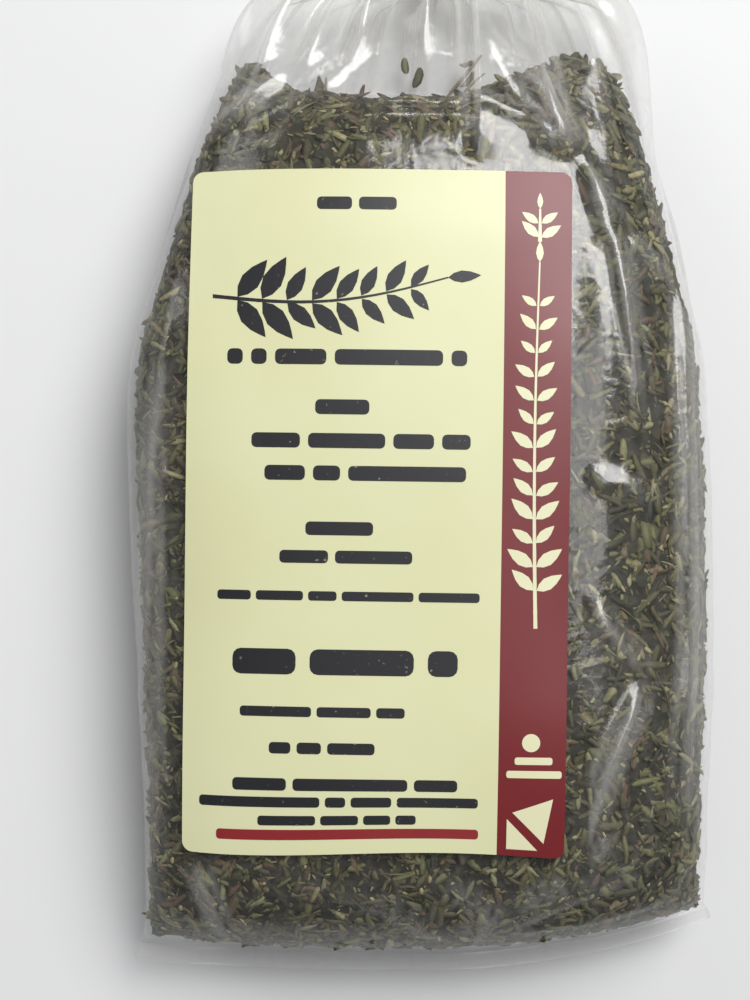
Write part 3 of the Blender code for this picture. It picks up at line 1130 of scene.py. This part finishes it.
def grid_normals(points: np.ndarray) -> np.ndarray:
    """Outward unit normals of a grid of rings.

    Args:
        points: Rows of rings of places; each ring closes on itself.

    Returns:
        One unit vector for each place.
    """
    around = np.roll(points, -1, axis=1) - np.roll(points, 1, axis=1)
    along = np.gradient(points, axis=0)
    normals = np.cross(along, around)
    lengths = np.linalg.norm(normals, axis=2, keepdims=True)
    return normals / np.maximum(lengths, 1e-9)


def ring_strip(near: int, far: int, count: int, flip: bool) -> list[tuple[int, ...]]:
    """Faces between two rings.

    Args:
        near: Number of the first ring's first vertex.
        far: Number of the second ring's first vertex.
        count: Vertices in a ring.
        flip: True to face inwards.

    Returns:
        One quad for each step round the ring.
    """
    strip = []
    for step in range(count):
        after = (step + 1) % count
        face = (near + step, far + step, far + after, near + after)
        strip.append(face[::-1] if flip else face)
    return strip


def flat_cap(start: int, count: int, flip: bool) -> list[tuple[int, ...]]:
    """Faces that close a flattened ring from its upper to its lower side.

    Args:
        start: Number of the ring's first vertex.
        count: Vertices in the ring.
        flip: True to face the other way.

    Returns:
        A strip of quads with a triangle at each end.
    """
    strip = []
    for step in range(count // 2):
        corners = (step, step + 1, count - step - 1, (count - step) % count)
        face = tuple(start + corner for corner in dict.fromkeys(corners))
        strip.append(face[::-1] if flip else face)
    return strip


# ---------------------------------------------------------------- the herb


@dataclass(frozen=True)
class LeafShape:
    """One pattern for a dried leaf: a slim boat whose edges roll under as it dries."""

    length: float
    width: float
    thickness: float
    roll: float
    bend: float
    blunt: float

    def template(self) -> tuple[np.ndarray, np.ndarray]:
        """Model the leaf once, from a sphere of a few faces.

        Returns:
            Vertex places in millimetres round the origin, and triangles.
        """
        deselect_all()
        bpy.ops.mesh.primitive_uv_sphere_add(segments=4, ring_count=5, radius=0.5)
        model = bpy.context.object
        bpy.ops.object.mode_set(mode="EDIT")
        bpy.ops.mesh.select_all(action="SELECT")
        bpy.ops.mesh.quads_convert_to_tris()
        bpy.ops.object.mode_set(mode="OBJECT")
        raw = np.array([vertex.co[:] for vertex in model.data.vertices])
        triangles = np.array([face.vertices[:] for face in model.data.polygons])
        bpy.data.objects.remove(model, do_unlink=True)
        u, v, w = raw[:, 2] * 2, raw[:, 0] * 2, raw[:, 1] * 2
        x = np.sign(u) * np.abs(u) ** self.blunt * self.length / 2
        y = v * self.width / 2
        z = w * self.thickness / 2 - self.roll * v * v + self.bend * (1 - u * u)
        return np.stack([x, y, z], axis=1), triangles


@dataclass
class HerbFill:
    """The contents: a dark packed core under thousands of separate leaf pieces."""

    form: BagForm
    label_box: tuple[float, float, float, float]
    seed: int = 21
    start: float = 4.6
    straight_end: float = 122.0
    dome: float = 16.5
    dome_rings: int = 10
    roughness: float = 0.7
    corner_reach: float = 41.5
    corner_depth: float = 9.0
    table_gap: float = 0.12
    piece_limit: int = 5000
    loose_leaves: int = 14
    loose_stalks: int = 4
    inset: float = 0.75
    around: int = 200
    leaves: int = 24000
    flecks: int = 6000
    stalks: int = 420
    shapes: tuple[LeafShape, ...] = (
        LeafShape(5.2, 1.75, 0.42, 0.50, 0.45, 0.95),
        LeafShape(4.4, 2.00, 0.40, 0.62, 0.25, 0.85),
        LeafShape(3.4, 1.60, 0.46, 0.40, -0.25, 0.8),
        LeafShape(6.0, 1.40, 0.45, 0.40, 0.75, 1.05),
        LeafShape(2.8, 1.90, 0.34, 0.50, 0.20, 0.65),
        LeafShape(4.9, 1.15, 0.55, 0.20, -0.50, 1.0),
    )
    fleck: LeafShape = LeafShape(1.25, 0.8, 0.3, 0.1, 0.05, 0.7)

    def end_shift(self, x: np.ndarray) -> np.ndarray:
        """How far the heap's upper end stands towards the neck, across the bag.

        Args:
            x: Places across the bag.

        Returns:
            Distances in millimetres.
        """
        return np.interp(
            x,
            (-34.0, -27.0, -20.0, -8.0, 6.0, 14.0, 24.0, 33.0),
            (3.0, 6.0, 1.5, 0.0, 0.5, 4.0, 7.5, 3.0),
        )

    def core_grid(self) -> np.ndarray:
        """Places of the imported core, ring by ring.

        Returns:
            Rows of rings, from the seam end to the sloping upper end.
        """
        straight = np.concatenate(
            [np.linspace(self.start, 12, 8), np.linspace(13.5, self.straight_end, 74)]
        )
        rings = [self.form.ring(along, self.around, self.inset) for along in straight]
        for part in np.linspace(0.12, 1.0, self.dome_rings):
            along = self.straight_end + self.dome * math.sin(part * math.pi / 2)
            ring = self.form.ring(along, self.around, self.inset)
            middle = np.array([0.0, ring[0, 1], ring[:, 2].min() + 5.0])
            closing = 1 - math.cos(part * math.pi / 2)
            shrink = 1 - np.array([0.10, 0.0, 0.82]) * closing ** 1.4
            ring = middle + (ring - middle) * shrink
            ring[:, 1] += self.end_shift(ring[:, 0]) * part ** 1.5
            rings.append(ring)
        grid = np.array(rings)
        chooser = np.random.default_rng(self.seed)
        bumps = chooser.uniform(0.0, self.roughness, grid.shape[:2])
        return grid - grid_normals(grid) * bumps[:, :, None]

    def build_core(self, grid: np.ndarray) -> bpy.types.Object:
        """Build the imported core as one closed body.

        Args:
            grid: Rows of rings.

        Returns:
            The core piece.
        """
        count, rows = self.around, len(grid)
        faces: list[tuple[int, ...]] = []
        for row in range(rows - 1):
            faces += ring_strip(row * count, (row + 1) * count, count, flip=False)
        faces += flat_cap(0, count, flip=False)
        faces += flat_cap((rows - 1) * count, count, flip=True)
        return new_piece("thyme_core", grid.reshape(-1, 3), faces)

    def under_label(self, spots: np.ndarray, normals: np.ndarray) -> np.ndarray:
        """Find the spots that the sticker hides.

        Args:
            spots: Places on the core.
            normals: Their normals.

        Returns:
            True for each hidden spot.
        """
        left, right, low, high = self.label_box
        margin = 3.5
        return (
            (normals[:, 2] > 0.3)
            & (spots[:, 0] > left + margin) & (spots[:, 0] < right - margin)
            & (spots[:, 1] > low + margin) & (spots[:, 1] < high - margin)
        )

    def sample(
        self, grid: np.ndarray, count: int, chooser: np.random.Generator
    ) -> tuple[np.ndarray, np.ndarray]:
        """Pick spots evenly over the core, except under the sticker and in the clear corners.

        Args:
            grid: Rows of rings of the core.
            count: Number of spots.
            chooser: Source of random numbers.

        Returns:
            Places and outward normals.
        """
        a, b = grid[:-1], grid[1:]
        c, d = np.roll(b, -1, axis=1), np.roll(a, -1, axis=1)
        normals = np.cross(b - a, d - a)
        areas = np.linalg.norm(normals, axis=2).ravel()
        picked = chooser.choice(len(areas), size=count * 2, p=areas / areas.sum())
        s, t = chooser.random((2, len(picked), 1))
        flat = [corner.reshape(-1, 3)[picked] for corner in (a, b, c, d)]
        spots = (flat[0] * (1 - s) + flat[3] * s) * (1 - t) + (flat[1] * (1 - s) + flat[2] * s) * t
        facing = grid_normals(grid)[:-1].reshape(-1, 3)[picked]
        low = spots[:, 1] < SEAM_Y + self.corner_depth
        in_corner = low & (np.abs(spots[:, 0]) > self.corner_reach)
        keep = ~self.under_label(spots, facing) & ~in_corner
        return spots[keep][:count], facing[keep][:count]

    def strew(
        self,
        name: str,
        shapes: Sequence[LeafShape],
        spots: np.ndarray,
        normals: np.ndarray,
        chooser: np.random.Generator,
        depth: float,
        tone: tuple[float, float],
        proud: float = 0.5,
    ) -> bpy.types.Object:
        """Lay copies of leaf patterns at the spots, each just inside the film.

        Args:
            name: Name of the piece they make together.
            shapes: Patterns to pick from.
            spots: Where they lie.
            normals: Which way is out.
            chooser: Source of random numbers.
            depth: How deep below the outermost ones a piece may lie.
            tone: Lowest and highest tone.
            proud: How far above its spot a piece may reach.

        Returns:
            One mesh piece that holds all the copies.
        """
        patterns = [shape.template() for shape in shapes]
        count = len(spots)
        kinds = chooser.integers(0, len(patterns), count)
        seeds = chooser.normal(size=(count, 3))
        heading = np.cross(normals, seeds)
        heading /= np.linalg.norm(heading, axis=1, keepdims=True)
        pitch = chooser.normal(0, 0.20, (count, 1))
        long_axis = heading * np.cos(pitch) + normals * np.sin(pitch)
        upright = normals * np.cos(pitch) - heading * np.sin(pitch)
        side = np.cross(upright, long_axis)
        roll = chooser.normal(0, 0.75, (count, 1))
        wide_axis = side * np.cos(roll) + upright * np.sin(roll)
        thin_axis = upright * np.cos(roll) - side * np.sin(roll)
        size = chooser.uniform(0.72, 1.18, (count, 1))
        tones = chooser.uniform(*tone, count)
        points, triangles, shades, used = [], [], [], 0
        for kind, (shape, faces) in enumerate(patterns):
            mine = kinds == kind
            local = shape[None] * size[mine][:, None, :]
            placed = (
                local[:, :, :1] * long_axis[mine][:, None]
                + local[:, :, 1:2] * wide_axis[mine][:, None]
                + local[:, :, 2:] * thin_axis[mine][:, None]
            )
            reach = np.einsum("ijk,ik->ij", placed, normals[mine]).max(axis=1)
            lift = proud - reach - chooser.random(mine.sum()) ** 1.4 * depth
            placed += (spots[mine] + normals[mine] * lift[:, None])[:, None]
            number = placed.shape[0]
            offsets = used + np.arange(number)[:, None, None] * len(shape)
            points.append(placed.reshape(-1, 3))
            triangles.append((faces[None] + offsets).reshape(-1, 3))
            shades.append(np.repeat(tones[mine], len(shape)))
            used += number * len(shape)
        all_points = np.concatenate(points)
        all_points[:, 2] = np.maximum(all_points[:, 2], self.table_gap)
        nearest = SEAM_Y + self.start - 0.3 + self.form.corner_lift(all_points[:, 0])
        all_points[:, 1] = np.maximum(all_points[:, 1], nearest)
        piece = new_piece(name, all_points, np.concatenate(triangles).tolist())
        add_attribute(piece, "tone", np.concatenate(shades))
        return piece

    def build_stalks(self, grid: np.ndarray) -> bpy.types.Object:
        """Lay bits of broken stalk among the leaves.

        Args:
            grid: Rows of rings of the core.

        Returns:
            One mesh piece that holds all the stalks.
        """
        chooser = np.random.default_rng(self.seed + 5)
        spots, normals = self.sample(grid, self.stalks, chooser)
        shapes = (
            LeafShape(7.5, 0.42, 0.40, 0.0, 0.10, 0.35),
            LeafShape(4.0, 0.36, 0.34, 0.0, -0.05, 0.35),
            LeafShape(2.2, 0.50, 0.44, 0.0, 0.0, 0.35),
        )
        return self.strew("thyme_stalk_bits", shapes, spots, normals, chooser, 0.4, (0.0, 1.0),
                          proud=0.0)

    def build_loose(self) -> list[bpy.types.Object]:
        """Scatter the few leaves and stalks that lie free beside the heap's upper end.

        Returns:
            The loose leaves and the loose stalks.
        """
        chooser = np.random.default_rng(self.seed + 9)
        made = []
        for name, shapes, count in (
            ("loose_leaves", self.shapes[2::3], self.loose_leaves),
            ("loose_stalks", (LeafShape(9.0, 0.6, 0.5, 0.0, 0.3, 0.35),), self.loose_stalks),
        ):
            x = chooser.uniform(-22, 27, count)
            y = 34.5 + 6.5 * chooser.random(count) ** 2
            low = [self.form.value(place - SEAM_Y, "bottom") + 2.6 for place in y]
            spots = np.stack([x, y, np.array(low)], axis=1)
            up = np.tile((0.0, 0.0, 1.0), (count, 1))
            made.append(self.strew(name, shapes, spots, up, chooser, 0.1, (0.1, 0.8)))
        return made

    def build(self) -> list[tuple[bpy.types.Object, bpy.types.Material]]:
        """Build the core, the leaves, the flecks and the stalks.

        Returns:
            Each piece with its material.
        """
        grid = self.core_grid()
        leaf, stem = DriedLeaf().material(), DriedStem().material()
        made = [(self.build_core(grid), PackedHerb().material())]
        chooser = np.random.default_rng(self.seed + 1)
        for number, begun in enumerate(range(0, self.leaves, self.piece_limit), start=1):
            count = min(self.piece_limit, self.leaves - begun)
            spots, normals = self.sample(grid, count, chooser)
            made.append((self.strew(
                f"thyme_leaves_{number}", self.shapes, spots, normals, chooser, 1.3, (0.05, 0.93)
            ), leaf))
        spots, normals = self.sample(grid, self.flecks, chooser)
        made.append((self.strew(
            "thyme_flecks", (self.fleck,), spots, normals, chooser, 0.6, (0.2, 1.0)
        ), leaf))
        made.append((self.build_stalks(grid), stem))
        return made


# ---------------------------------------------------------------- the sticker


@dataclass
class Sticker:
    """The label: cream with a dark red band, round corners, and marks in place of words."""

    form: BagForm
    centre: tuple[float, float] = (-7.5, -31.7)
    width: float = 57.0
    length: float = 102.0
    corner: float = 2.5
    tilt: float = math.radians(-0.8)
    band: float = 10.0
    lift: float = 0.26
    thickness: float = 0.10
    ink_lift: float = 0.02
    ink_thickness: float = 0.03

    def box(self) -> tuple[float, float, float, float]:
        """Left, right, low and high limits of the sticker, in millimetres."""
        x, y = self.centre
        return (x - self.width / 2, x + self.width / 2, y - self.length / 2, y + self.length / 2)

    def waves(self, x: float, y: float) -> float:
        """Slight buckling of the paper, as it spans the uneven contents.

        Args:
            x: Place across the sticker, from its middle.
            y: Place along it, from its middle.

        Returns:
            Extra height in millimetres.
        """
        edge = max(0.0, abs(x) / (self.width / 2) - 0.6) / 0.4
        foot = max(0.0, -y / (self.length / 2) - 0.7) / 0.3
        return (
            0.10 * math.sin(y / 11.0 + 0.7)
            + 0.07 * math.sin(x / 7.0 + y / 23.0)
            + 0.22 * edge * (1 + math.sin(y / 8.5))
            + 0.20 * foot * (1 + math.sin(x / 5.2 + 1.0))
            + 0.25
        )

    def place(self, u: float, v: float, height: float) -> Vector:
        """Put a point of the flat sticker where it lies on the bag.

        Args:
            u: Place across, from the sticker's left edge.
            v: Place down, from its top edge.
            height: Height above the sticker's underside.

        Returns:
            The point in metres.
        """
        x, y = u - self.width / 2, self.length / 2 - v
        cos, sin = math.cos(self.tilt), math.sin(self.tilt)
        foot = max(0.0, -y / (self.length / 2) - 0.75) / 0.25
        across = self.centre[0] + x * cos - y * sin
        along = self.centre[1] + x * sin + y * cos + 0.5 * foot * math.sin(x / 9.5 + 0.6)
        base = float(self.form.front_height(np.array([across]), along)[0])
        return Vector((across, along, base + self.lift + self.waves(x, y) + height)) * MM

    def build_sheet(self) -> bpy.types.Object:
        """Model the sheet as a flat grid, round its corners and lay it on the bag.

        Returns:
            The sticker, with its red band on its second material slot.
        """
        deselect_all()
        bpy.ops.mesh.primitive_grid_add(x_subdivisions=38, y_subdivisions=68, size=1.0)
        sheet = bpy.context.object
        sheet.name = "sticker"
        sheet.data.materials.append(StickerFace("cream_sticker", "E6E6B9", "E0DFB0").material())
        sheet.data.materials.append(StickerFace("red_band", "74161C", "7A1C20").material())
        bpy.ops.object.mode_set(mode="EDIT")
        bpy.ops.mesh.select_all(action="SELECT")
        bpy.ops.transform.resize(value=(self.width, self.length, 1.0))
        edge = self.width / 2 - self.band
        bpy.ops.mesh.bisect(plane_co=(edge, 0, 0), plane_no=(1, 0, 0))
        bpy.ops.object.mode_set(mode="OBJECT")
        form = bmesh.new()
        form.from_mesh(sheet.data)
        corners = [vertex for vertex in form.verts if len(vertex.link_edges) == 2]
        bmesh.ops.bevel(form, geom=corners, offset=self.corner, segments=6, profile=0.5,
                        affect="VERTICES")
        for face in form.faces:
            face.material_index = int(face.calc_center_median().x > edge)
        for vertex in form.verts:
            u, v = vertex.co.x + self.width / 2, self.length / 2 - vertex.co.y
            vertex.co = self.place(u, v, 0.0)
        form.to_mesh(sheet.data)
        form.free()
        wall = sheet.modifiers.new("paper", "SOLIDIFY")
        wall.thickness = self.thickness * MM
        wall.offset = 1.0
        bpy.ops.object.modifier_apply(modifier=wall.name)
        sheet.data.shade_smooth()
        sheet.data.set_sharp_from_angle(angle=math.radians(60))
        return sheet

    def stamp(self, name: str, outlines: Iterable[Sequence[tuple[float, float]]],
              step: float = 1.6) -> bpy.types.Object:
        """Print flat shapes on the sticker as very thin closed slabs.

        Args:
            name: The piece's name.
            outlines: Each shape's corners, across and down from the top left corner.
            step: Longest straight stretch, so that the print follows the paper.

        Returns:
            The printed piece.
        """
        form = bmesh.new()
        for outline in outlines:
            form.faces.new([form.verts.new((u, v, 0.0)) for u, v in outline])
        for axis in (0, 1):
            places = [vertex.co[axis] for vertex in form.verts]
            cut = math.floor(min(places) / step) * step + step
            while cut < max(places):
                spot, normal = Vector((0, 0, 0)), Vector((0, 0, 0))
                spot[axis], normal[axis] = cut, 1.0
                every = form.verts[:] + form.edges[:] + form.faces[:]
                bmesh.ops.bisect_plane(form, geom=every, plane_co=spot, plane_no=normal,
                                       dist=1e-5)
                cut += step
        bmesh.ops.triangulate(form, faces=form.faces[:])
        base = self.thickness + self.ink_lift
        for vertex in form.verts:
            vertex.co = self.place(vertex.co.x, vertex.co.y, base)
        for face in form.faces:
            face.normal_update()
            if face.normal.z < 0:
                face.normal_flip()
        data = bpy.data.meshes.new(name)
        form.to_mesh(data)
        form.free()
        piece = bpy.data.objects.new(name, data)
        bpy.context.scene.collection.objects.link(piece)
        deselect_all()
        bpy.context.view_layer.objects.active = piece
        wall = piece.modifiers.new("ink", "SOLIDIFY")
        wall.thickness = self.ink_thickness * MM
        wall.offset = 1.0
        bpy.ops.object.modifier_apply(modifier=wall.name)
        return piece

    def build_print(self) -> list[tuple[bpy.types.Object, bpy.types.Material]]:
        """Print the sticker with a drawn sprig and bars of word length, and no lettering.

        Returns:
            Each printed piece with its material.
        """
        ink = TransferInk().material()
        red = StickerFace("printed_red_line", "8E2226", "932A2C").material()
        blank = StickerFace("unprinted_cream", "EDEBC4", "E6E3B8").material()
        black = [
            *word_bars(19.0, 5.2, 1.9, (5.2, 5.6)),
            *word_bars(6.0, 28.2, 2.3, (1.2, 2.0, 7.6, 16.0, 1.2)),
            *word_bars(19.2, 35.6, 2.2, (8.0,)),
            *word_bars(9.8, 40.6, 2.2, (7.2, 11.4, 6.0, 4.2)),
            *word_bars(11.8, 45.4, 2.2, (6.0, 4.0, 17.4)),
            *word_bars(18.0, 53.6, 2.0, (10.0,)),
            *word_bars(14.2, 57.8, 1.9, (7.2, 11.4)),
            *word_bars(5.0, 63.6, 1.4, (5.0, 7.0, 4.2, 10.6, 9.0)),
            *word_bars(7.4, 73.4, 3.8, (9.4, 15.4, 4.4)),
            *word_bars(8.6, 80.8, 1.5, (10.6, 8.0, 4.2)),
            *word_bars(13.0, 86.2, 1.7, (3.2, 3.6, 7.0)),
            *word_bars(7.6, 91.6, 1.8, (8.0, 17.0, 6.4)),
            *word_bars(2.6, 94.2, 1.5, (18.0, 3.0, 6.0, 12.0)),
            *word_bars(11.4, 96.9, 1.4, (8.6, 5.6, 4.0, 3.0)),
        ]
        sprig = sprig_outlines(start=(3.6, 19.2), end=(38.6, 16.2), arch=2.2, leaf=8.2, pairs=8)
        vine = sprig_outlines(start=(52.2, 68.0), end=(52.2, 13.6), arch=-0.5, leaf=5.2, pairs=13)
        crest = sprig_outlines(start=(52.2, 10.6), end=(52.2, 5.6), arch=0.0, leaf=4.0, pairs=2)
        dot = disc((51.8, 84.9), 1.35)
        foot = [*word_bars(49.4, 87.6, 1.1, (5.6,)), *word_bars(48.2, 89.6, 1.1, (8.2,))]
        return [
            (self.stamp("print_bars", black), ink),
            (self.stamp("print_sprig", sprig), ink),
            (self.stamp("print_foot_line", word_bars(5.2, 99.0, 1.5, (39.0,))), red),
            (self.stamp("band_vine", [*vine, *crest]), blank),
            (self.stamp("band_marks", [dot, *foot, *peel_corner()]), blank),
        ]


def word_bars(
    left: float, middle: float, height: float, lengths: Sequence[float]
) -> list[list[tuple[float, float]]]:
    """Bars with round ends that stand for the words of one line.

    Args:
        left: Where the line starts, across from the sticker's left edge.
        middle: Its middle, down from the top edge.
        height: Height of the bars.
        lengths: Length of each bar.

    Returns:
        The outline of each bar.
    """
    outlines = []
    radius = height * 0.32
    for length in lengths:
        right = left + max(length, height)
        outline = []
        for centre_u, centre_v, begun in (
            (right - radius, middle + height / 2 - radius, 0),
            (left + radius, middle + height / 2 - radius, 90),
            (left + radius, middle - height / 2 + radius, 180),
            (right - radius, middle - height / 2 + radius, 270),
        ):
            for turn in (0, 30, 60, 90):
                angle = math.radians(begun + turn)
                outline.append((centre_u + radius * math.cos(angle),
                                centre_v + radius * math.sin(angle)))
        outlines.append(outline)
        left = right + height * 0.55
    return outlines


def disc(centre: tuple[float, float], radius: float) -> list[tuple[float, float]]:
    """Outline of a round dot.

    Args:
        centre: Across and down.
        radius: Its radius.

    Returns:
        Points round the dot.
    """
    angles = [2 * math.pi * step / 24 for step in range(24)]
    return [(centre[0] + radius * math.cos(a), centre[1] + radius * math.sin(a)) for a in angles]


def peel_corner() -> list[list[tuple[float, float]]]:
    """Plain folded-corner mark at the foot of the band, as two triangles."""
    return [
        [(48.4, 101.0), (48.4, 96.4), (53.0, 101.0)],
        [(49.2, 95.4), (55.2, 93.2), (53.9, 99.9)],
    ]


def sprig_outlines(
    start: tuple[float, float], end: tuple[float, float], arch: float, leaf: float, pairs: int
) -> list[list[tuple[float, float]]]:
    """Plain drawing of a herb sprig: a stem with pairs of small leaves and one at its tip.

    Args:
        start: Foot of the stem.
        end: Its tip.
        arch: How far the stem bows sideways.
        leaf: Length of the largest leaves.
        pairs: Number of leaf pairs.

    Returns:
        The outline of each leaf and of each stretch of stem.
    """
    foot, tip = np.array(start), np.array(end)
    way = tip - foot
    sideways = np.array([-way[1], way[0]]) / np.linalg.norm(way)

    def spot(part: float) -> np.ndarray:
        """Place on the bowed stem, from 0 at its foot to 1 at its tip."""
        return foot + way * part + sideways * arch * math.sin(math.pi * part)

    outlines = []
    steps = pairs * 2
    for step in range(steps):
        near, far = spot(step / steps), spot((step + 1) / steps)
        thick = 0.30 * (1 - 0.6 * step / steps)
        outlines.append([tuple(p) for p in (near + sideways * thick, far + sideways * thick * 0.9,
                                            far - sideways * thick * 0.9, near - sideways * thick)])
    ahead = way / np.linalg.norm(way)
    for pair in range(pairs):
        part = 0.10 + 0.84 * pair / pairs
        size = leaf * (1 - 0.45 * part) * (0.9 + 0.1 * math.sin(pair * 2.4))
        for side in (-1, 1):
            lean = math.radians(52 + 6 * math.sin(pair * 1.7 + side))
            out = ahead * math.cos(lean) + sideways * side * math.sin(lean)
            outlines.append(leaf_outline(spot(part) + out * 0.3, out, size, size * 0.42))
    outlines.append(leaf_outline(spot(1.0), ahead, leaf * 0.6, leaf * 0.22))
    return outlines


def leaf_outline(
    base: np.ndarray, way: np.ndarray, length: float, width: float
) -> list[tuple[float, float]]:
    """Outline of one drawn leaf.

    Args:
        base: Where it leaves the stem.
        way: Unit vector along it.
        length: Its length.
        width: Its greatest width.

    Returns:
        Points round the leaf.
    """
    side = np.array([-way[1], way[0]])
    profile = ((0.0, 0.0), (0.18, 0.34), (0.42, 0.5), (0.68, 0.38), (0.88, 0.16), (1.0, 0.0))
    upper = [base + way * length * a + side * width * b for a, b in profile]
    lower = [base + way * length * a - side * width * b for a, b in profile[1:-1]]
    return [tuple(point) for point in upper + lower[::-1]]


# ---------------------------------------------------------------- the room


@dataclass
class Studio:
    """Plain pale table, soft light from above the upper right, and the camera overhead."""

    target: tuple[float, float] = (-7.75, -30.0)
    camera_height: float = 320.0
    view_length: float = 148.0
    sticker_height: float = 31.0
    sensor: float = 36.0

    def build_floor(self) -> bpy.types.Object:
        """Lay the table top under the bag.

        Returns:
            The floor, which isn't part of the object.
        """
        deselect_all()
        bpy.ops.mesh.primitive_plane_add(size=3.0, location=(0, 0, 0))
        floor = bpy.context.object
        floor.name = "table_top"
        floor.data.materials.append(TableTop().material())
        return floor

    def build_camera(self) -> None:
        """Hang the camera straight above the bag, with the mouth end at the top."""
        data = bpy.data.cameras.new("overhead")
        data.sensor_width = self.sensor
        reach = (self.camera_height - self.sticker_height) * 2
        data.lens = self.sensor / (2 * self.view_length / reach)
        camera = bpy.data.objects.new("overhead", data)
        camera.location = (self.target[0] * MM, self.target[1] * MM, self.camera_height * MM)
        bpy.context.scene.collection.objects.link(camera)
        bpy.context.scene.camera = camera

    def add_lamp(self, name: str, place: tuple[float, float, float], size: float,
                 power: float) -> None:
        """Add one soft square lamp that faces the bag.

        Args:
            name: The lamp's name.
            place: Where it hangs, in metres.
            size: Its side, in metres.
            power: Its power in watts.
        """
        data = bpy.data.lights.new(name, "AREA")
        data.size = size
        data.energy = power
        lamp = bpy.data.objects.new(name, data)
        lamp.location = place
        aim = Vector((0.0, -0.03, 0.01)) - lamp.location
        lamp.rotation_euler = aim.to_track_quat("-Z", "Y").to_euler()
        bpy.context.scene.collection.objects.link(lamp)

    def build_lights(self) -> None:
        """Light the bag: windows at the upper right and left, a ceiling light, and the room."""
        self.add_lamp("window", (0.36, 0.46, 0.90), 0.6, 10.0)
        self.add_lamp("side_window", (-0.70, 0.60, 0.50), 0.5, 1.5)
        self.add_lamp("ceiling_light", (0.23, 0.04, 1.25), 0.34, 1.1)
        world = bpy.data.worlds.new("room")
        bpy.context.scene.world = world
        world.use_nodes = True
        sky = world.node_tree.nodes["Background"]
        sky.inputs["Color"].default_value = linear("EEF0F4")
        sky.inputs["Strength"].default_value = 0.24


# ---------------------------------------------------------------- putting it together


def add_piece(
    piece: bpy.types.Object, material: bpy.types.Material | None, slot: str, *replaced: str
) -> None:
    """Dress a piece, tie it to the body, and say what it stands for.

    Args:
        piece: The mesh object.
        material: Its material, or None if it already has its own.
        slot: The record's material slot; not used.
        *replaced: CAD nodes that it stands for.
    """
    if material is not None:
        piece.data.materials.clear()
        piece.data.materials.append(material)
    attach(piece, "root")
    if replaced:
        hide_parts(*replaced)
    LOG.info("%s: %d faces", piece.name, len(piece.data.polygons))


def dress_node(name: str, material: bpy.types.Material) -> None:
    """Give a CAD node that stays in view its finish.

    Args:
        name: The node's name.
        material: Its material.
    """
    for slot in bpy.data.objects[name].material_slots:
        slot.material = material


def main() -> None:
    """Build the room, the contents, the film, the sticker and the closure."""
    logging.basicConfig(level=logging.INFO, format="%(message)s")
    studio = Studio()
    studio.build_camera()
    studio.build_lights()
    studio.build_floor()
    bpy.context.scene.cycles.transparent_max_bounces = 20
    bpy.context.scene.view_settings.view_transform = "Standard"

    form = BagForm()
    sticker = Sticker(form)
    contents = HerbFill(form, sticker.box())
    for number, (piece, material) in enumerate(contents.build()):
        add_piece(piece, material, "thyme", *(("thyme_fill",) if number == 0 else ()))

    bag = FilmBag(form, label_box=sticker.box())
    film = ClearFilm().material()
    body, ruffle = bag.build(Stretch.BODY), bag.build(Stretch.RUFFLE)
    add_piece(body, film, "film", "bag_film")
    add_piece(ruffle, film, "film")

    sheet = sticker.build_sheet()
    add_piece(sheet, None, "label", "label")
    for piece, material in sticker.build_print():
        add_piece(piece, material, "label")

    for piece, slot, kind, finish in zip(
        contents.build_loose(), ("thyme", "stalk"), ("thyme_leaf", "thyme_stalk"),
        (DriedLeaf("loose_thyme_leaf"), DriedStem("loose_thyme_stalk")),
    ):
        nodes = [name for name in frame["nodes"] if name.startswith(kind)]
        add_piece(piece, finish.material(), slot, *nodes)
    dress_node("twist_tie", TieRibbon().material())


if __name__ == "__main__":
    main()
